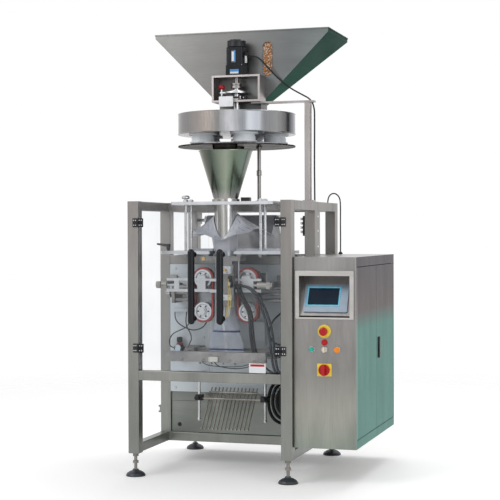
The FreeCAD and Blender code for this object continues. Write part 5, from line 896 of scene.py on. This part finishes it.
# ---- film tube under the forming tube
FILM_CLEAR = clear_sheet("packing_film", (0.78, 0.82, 0.92), 0.16, 0.30)
FILM_PRINT = paint("film_print", (0.03, 0.05, 0.20), (0.05, 0.08, 0.30), 0.3, bump=0.02)
FILM_SEAM = paint("film_seam", (0.62, 0.64, 0.68), (0.74, 0.76, 0.80), 0.25, bump=0.1)
FILM_RADIUS = 58.4  # round the forming tube
FLAT_HALF_WIDTH, FLAT_HALF_DEPTH = 91.0, 0.9  # where the jaws close on it
FLATTENS_FROM, FLATTENS_OVER = 780, 165.0
PRINTED_BANDS = (711, 618)
SEAM_FROM = 770
levels = [1176, 1120, 1040, 960, 880, 800, 770, 752, 736, 711, 702, 680, 656, 640, 618, 609, 600]
count = 72  # points round the tube
bm = bmesh.new()
rings = []
for z in levels:
    t = min(1.0, max(0.0, (FLATTENS_FROM - z) / FLATTENS_OVER))
    t = t * t * (3 - 2 * t)
    ring = []
    for k in range(count):
        a = 2 * math.pi * k / count
        wave = 1 + 0.012 * t * (1 - t) * 4 * math.sin(5 * a + z * 0.05)
        rx = (FILM_RADIUS * (1 - t) + FLAT_HALF_WIDTH * t) * wave
        ry = (FILM_RADIUS * (1 - t) + FLAT_HALF_DEPTH * t) * wave
        ring.append(bm.verts.new(at(rx * math.sin(a), TUBE_Y - ry * math.cos(a), z)))
    rings.append(ring)
for level, (a, b) in enumerate(zip(rings, rings[1:])):
    for k in range(count):
        j = (k + 1) % count
        face = bm.faces.new((a[k], a[j], b[j], b[k]))
        if levels[level] in PRINTED_BANDS:
            face.material_index = 1
        elif k in (0, count - 1) and levels[level] < SEAM_FROM:
            face.material_index = 2
film = from_bmesh("film_tube", bm, "machine", FILM_CLEAR, FILM_PRINT, FILM_SEAM, smooth=True)


# ---- film over the collar and back to the roll
def printed_film():
    """Milky film with short dark-blue printed strokes spread round the tube axis."""
    strokes_round, rows_per_metre = 26, 24.0
    g = Graph("printed_film")
    turn = g.math("FRACT", g.math("MULTIPLY", g.angle(TUBE_Y), strokes_round / (2 * math.pi)))
    row = g.math("FRACT", g.math("MULTIPLY", g.axis("Z"), rows_per_metre))
    cloud = g.noise(g.scaled((16, 16, 16)), 1.0, 4.0, 0.6)
    stroke = g.math("MULTIPLY", g.math("LESS_THAN", turn, 0.10), g.math("LESS_THAN", row, 0.55))
    stroke = g.math("MULTIPLY", stroke, g.math("GREATER_THAN", cloud, 0.47))
    base = g.ramp(cloud, [(0.3, (0.36, 0.37, 0.42)), (0.7, (0.60, 0.61, 0.65))])
    color = g.mix(stroke, base, (0.030, 0.035, 0.12))
    g.set(Base_Color=color, Roughness=g.span(cloud, 0.3, 0.7, 0.16, 0.30))
    g.bump(cloud, 0.25, 0.002)
    return g.mat


# the film lies on those faces of the collar that look up, outside the tube and within the web
COLLAR_UP = 0.2  # least upward share of a face's normal
TUBE_RADIUS, WEB_REACH, FILM_LIFT = 0.0595, 0.192, 0.0006  # metres
collar_low = at(0, 0, 1130).z
collar_mesh = nodes["forming_collar"].data
bm = bmesh.new()
found = {}
for polygon in collar_mesh.polygons:
    place = polygon.center
    away = math.hypot(place.x - OX, place.y - OY - TUBE_Y / 1000)
    if polygon.normal.z < COLLAR_UP or away < TUBE_RADIUS or place.z < collar_low:
        continue
    if abs(place.x - OX) > WEB_REACH:
        continue
    corners = []
    for k in polygon.vertices:
        key = tuple(round(c, 5) for c in collar_mesh.vertices[k].co)
        if key not in found:
            found[key] = bm.verts.new(collar_mesh.vertices[k].co)
        corners.append(found[key])
    if len(set(corners)) == len(corners):
        try:
            bm.faces.new(corners)
        except ValueError:  # a face with the same corners is there already
            pass
bm.normal_update()
for v, outward in [(v, v.normal.copy()) for v in bm.verts]:
    v.co = v.co + outward * FILM_LIFT
rear_points = sorted((v.co.x - OX, v.co.y, v.co.z) for v in bm.verts if v.co.y > OY + 0.34)
collar_film = bpy.data.meshes.new("film_over_collar")
bm.to_mesh(collar_film)
bm.free()
smooth_all(collar_film)
over = piece("film_over_collar", collar_film, "machine", printed_film())


def rear_edge(x):
    """Rearmost point of the film on the collar near the given distance from the middle (m)."""
    near = [q for q in rear_points if abs(q[0] - x) < 0.012] or rear_points
    best = max(near, key=lambda q: q[1] - 0.6 * abs(q[0] - x))
    return Vector((OX + x, best[1] + 0.0004, best[2] + 0.0002))


# the web runs from the roll round the dancer's roller, up to the guide roller and on to the collar
WEB_LOWER = clear_sheet("film_web", (0.30, 0.32, 0.37), 0.14, 0.42)
# painted shade: the web above the dancer is a darker, denser film, standing in for the shade under the
# collar's wings
WEB_UPPER = clear_sheet("film_web_above", (0.12, 0.115, 0.14), 0.16, 0.60)
GUIDE_Y, GUIDE_Z, GUIDE_RADIUS = 560, 1270, 25.45  # the film's path round the guide roller
AT_DANCER = (721.2, 943.7)
to_dancer = [(888.3, 440.8), (840, 591), (805, 700), (780, 779), (750, 862), AT_DANCER]
to_guide = [AT_DANCER, (720.6, 945.5), (695, 1007), (670, 1069), (645, 1130), (620, 1190),
            (583.6, 1279.7)]
for degrees in (35, 50, 65, 80, 95, 110, 122, 134.4):
    a = math.radians(degrees)
    to_guide.append((GUIDE_Y + GUIDE_RADIUS * math.cos(a), GUIDE_Z + GUIDE_RADIUS * math.sin(a)))
columns = [-190 + 380 * i / 24 for i in range(25)]


def web_part(name, line, material, to_collar=False):
    """One part of the web, as rows of points across its width."""
    bm = bmesh.new()
    rows = [[bm.verts.new(at(x, y, z)) for x in columns] for y, z in line]
    if to_collar:
        last = [at(x, *line[-1]) for x in columns]
        ends = [rear_edge(x / 1000) for x in columns]
        for share in (0.25, 0.5, 0.75, 1.0):
            rows.append([bm.verts.new(a.lerp(b, share)) for a, b in zip(last, ends)])
    for a, b in zip(rows, rows[1:]):
        for k in range(len(columns) - 1):
            bm.faces.new((a[k], a[k + 1], b[k + 1], b[k]))
    mesh = finished_mesh(name, bm, True)
    mesh.materials.append(material)
    obj = bpy.data.objects.new(name, mesh)
    scene.collection.objects.link(obj)
    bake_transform(obj)


web_part("film_web_lower", to_dancer, WEB_LOWER)
web_part("film_web_upper", to_guide, WEB_UPPER,
         to_collar=True)

# ---- vertical sealer: covers, fittings, wires
dressed("vertical_sealer", DARK_STEEL, [
    ((21, 150, 995), (66, 187, 1040), WHITE_PAINT), ((-12, 165, 866), (64, 187, 898), WHITE_PAINT),
    ((-60, 190, 900), (60, 205, 980), WHITE_PAINT), ((-90, 170, 1062), (-80, 186, 1086), BRASS),
    ((-106, 186, 1060), (106, 205, 1088), CHROME)])
bm = bmesh.new()
add_lathe(bm, (40, 143.5, 1018), (0, -1, 0), [(0, 7.5), (7, 7.5), (7, 5), (16, 5), (17, 3)], 6, 0)
add_lathe(bm, (46, 155, 1006), (0, -1, 0), [(0, 4), (10, 4), (11, 2)], 12, 1)
add_lathe(bm, (30, 155, 1030), (0, -1, 0), [(0, 3), (5, 3), (5.5, 1)], 12, 1)
for x, z in ((0, 876), (52, 888), (26, 882)):
    add_lathe(bm, (x, 169.5, z), (0, -1, 0), [(0, 5), (4, 5), (5, 3)], 6, 1)
add_lathe(bm, (-4, 178.5, 911), (0, 0, 1), [(0, 6), (6, 6), (7, 4), (16, 4)], 12, 0)
add_block(bm, (50, 160, 930), (66, 187.4, 990), 2, 2)
add_block(bm, (52, 150, 940), (64, 160.5, 958), 1.5, 1)
add_block(bm, (52, 150, 966), (64, 160.5, 984), 1.5, 2)
from_bmesh("sealer_fittings", bm, "back_sealer", BRASS, CHROME, BLACK)

cord_piece("sealer_wire_a", [(57, 149.5, 949), (57, 138, 944), (60, 130, 915), (64, 127, 870),
    (62, 125, 825), (52, 124, 788), (36, 124, 768), (22, 128, 776), (14, 140, 808), (8, 154, 844),
    (2, 162, 866), (0, 165, 876)], 1.3, YELLOW, "back_sealer", 2)
cord_piece("sealer_wire_b", [(57, 149.5, 975), (58, 136, 970), (68, 128, 935), (74, 126, 885),
    (73, 125, 835), (66, 125, 800), (56, 127, 786), (48, 134, 800), (48, 148, 838), (51, 160, 872),
    (52, 165, 888)], 1.3, YELLOW, "back_sealer", 2)

# ---- jaws, boxes and small hardware
dressed("front_jaw", DARK_STEEL, [((-240, 85, 565), (240, 99.8, 590), STEM),
                                  ((-32, 80, 562), (19, 99.9, 596), CREAM)])
bm = bmesh.new()
for x in (-172, -61, 76, 201):
    add_lathe(bm, (x, 100, 577), (0, -1, 0), [(0, 10), (1.6, 10), (2, 7.5)], 20)
from_bmesh("jaw_washers", bm, "front_cross_jaw", BARREL)

# bare sticker with a plain red header on the right door pane
bm = bmesh.new()
add_block(bm, (206, -0.4, 529), (290, 0.1, 575), 0.1, 0)
add_block(bm, (213, -0.6, 560), (283, -0.3, 571), 0.1, 1)
from_bmesh("bare_door_sticker", bm, "right_door", LABEL_WHITE, RED)

# heads and holes on the mounting panel
bm = bmesh.new()
for x, z in ((-334, 1017), (165, 1029), (165, 1009), (-336, 394), (336, 394), (336, 1017), (-180, 660),
             (300, 640)):
    add_lathe(bm, (x, 452, z), (0, -1, 0), [(0, 6), (1.2, 6), (1.8, 4.6), (1.8, 3), (0.9, 2.6)], 16)
from_bmesh("panel_screws", bm, "machine", STEM)

# valve block on the inner face of the right post, with its fittings
bm = bmesh.new()
add_block(bm, (350, 470, 1186), (363, 505, 1288), 2, 0)
for z in (1200, 1222, 1244, 1266):
    add_block(bm, (336, 478, z), (350.5, 497, z + 13), 1.2, 1 if z < 1230 else 3)
    add_lathe(bm, (343, 479, z + 6.5), (0, -1, 0), [(0, 5), (8, 5), (8, 3.6), (12, 3.6)], 14, 2)
from_bmesh("valve_block", bm, "machine", BLACK, LABEL_WHITE, CHROME, DARK_STEEL)

# electrical devices on the mounting plate in the cabinet, seen when its doors are open
plate_x = 437  # front face of the mounting plate
bm = bmesh.new()
for z in (350, 500, 650):
    add_block(bm, (plate_x, 130, z - 17), (plate_x + 7, 800, z + 17), 0.5, 0)
    for k in range(34):
        add_block(bm, (plate_x + 1, 122 + k * 20.5, z + 58), (plate_x + 42, 134 + k * 20.5, z + 92), 0.4, 1)
    add_block(bm, (plate_x, 118, z + 56), (plate_x + 3, 822, z + 94), 0.4, 1)
    add_block(bm, (plate_x + 42, 118, z + 56), (plate_x + 45, 822, z + 94), 0.4, 1)
# each is (y, width, depth, height, material) in a row at its height
rows = {650: [(140, 70, 62, 90, 2), (216, 130, 66, 90, 3), (352, 60, 62, 90, 3), (430, 45, 58, 70, 2),
              (478, 45, 58, 70, 2), (540, 110, 50, 84, 0), (670, 100, 62, 90, 3)],
        500: [(140, 45, 60, 74, 2), (188, 45, 60, 74, 2), (236, 45, 60, 74, 2), (300, 27, 64, 66, 4),
              (330, 27, 64, 66, 4), (360, 27, 64, 66, 4), (390, 27, 64, 66, 4), (450, 90, 66, 90, 3),
              (546, 90, 66, 90, 3), (660, 120, 58, 90, 2)],
        350: [(140 + 9 * k, 8, 40, 44, 1 if k % 3 else 4) for k in range(48)] + [(620, 150, 60, 90, 0)]}
for z, row in rows.items():
    for y, width, depth, height, index in row:
        add_block(bm, (plate_x + 7, y, z - height / 2), (plate_x + depth, y + width, z + height / 2),
                  1.2, index)
        if width > 20:
            for side in (-1, 1):
                for k in range(3):
                    place = (plate_x + depth, y + width * (0.2 + 0.3 * k), z + side * height * 0.38)
                    add_screw(bm, place, (1, 0, 0), 2.6, 1.6, 5)
from_bmesh("cabinet_devices", bm, "machine", STEEL_Y, DUCT, BLACK, LABEL_WHITE, FOOT, CHROME)
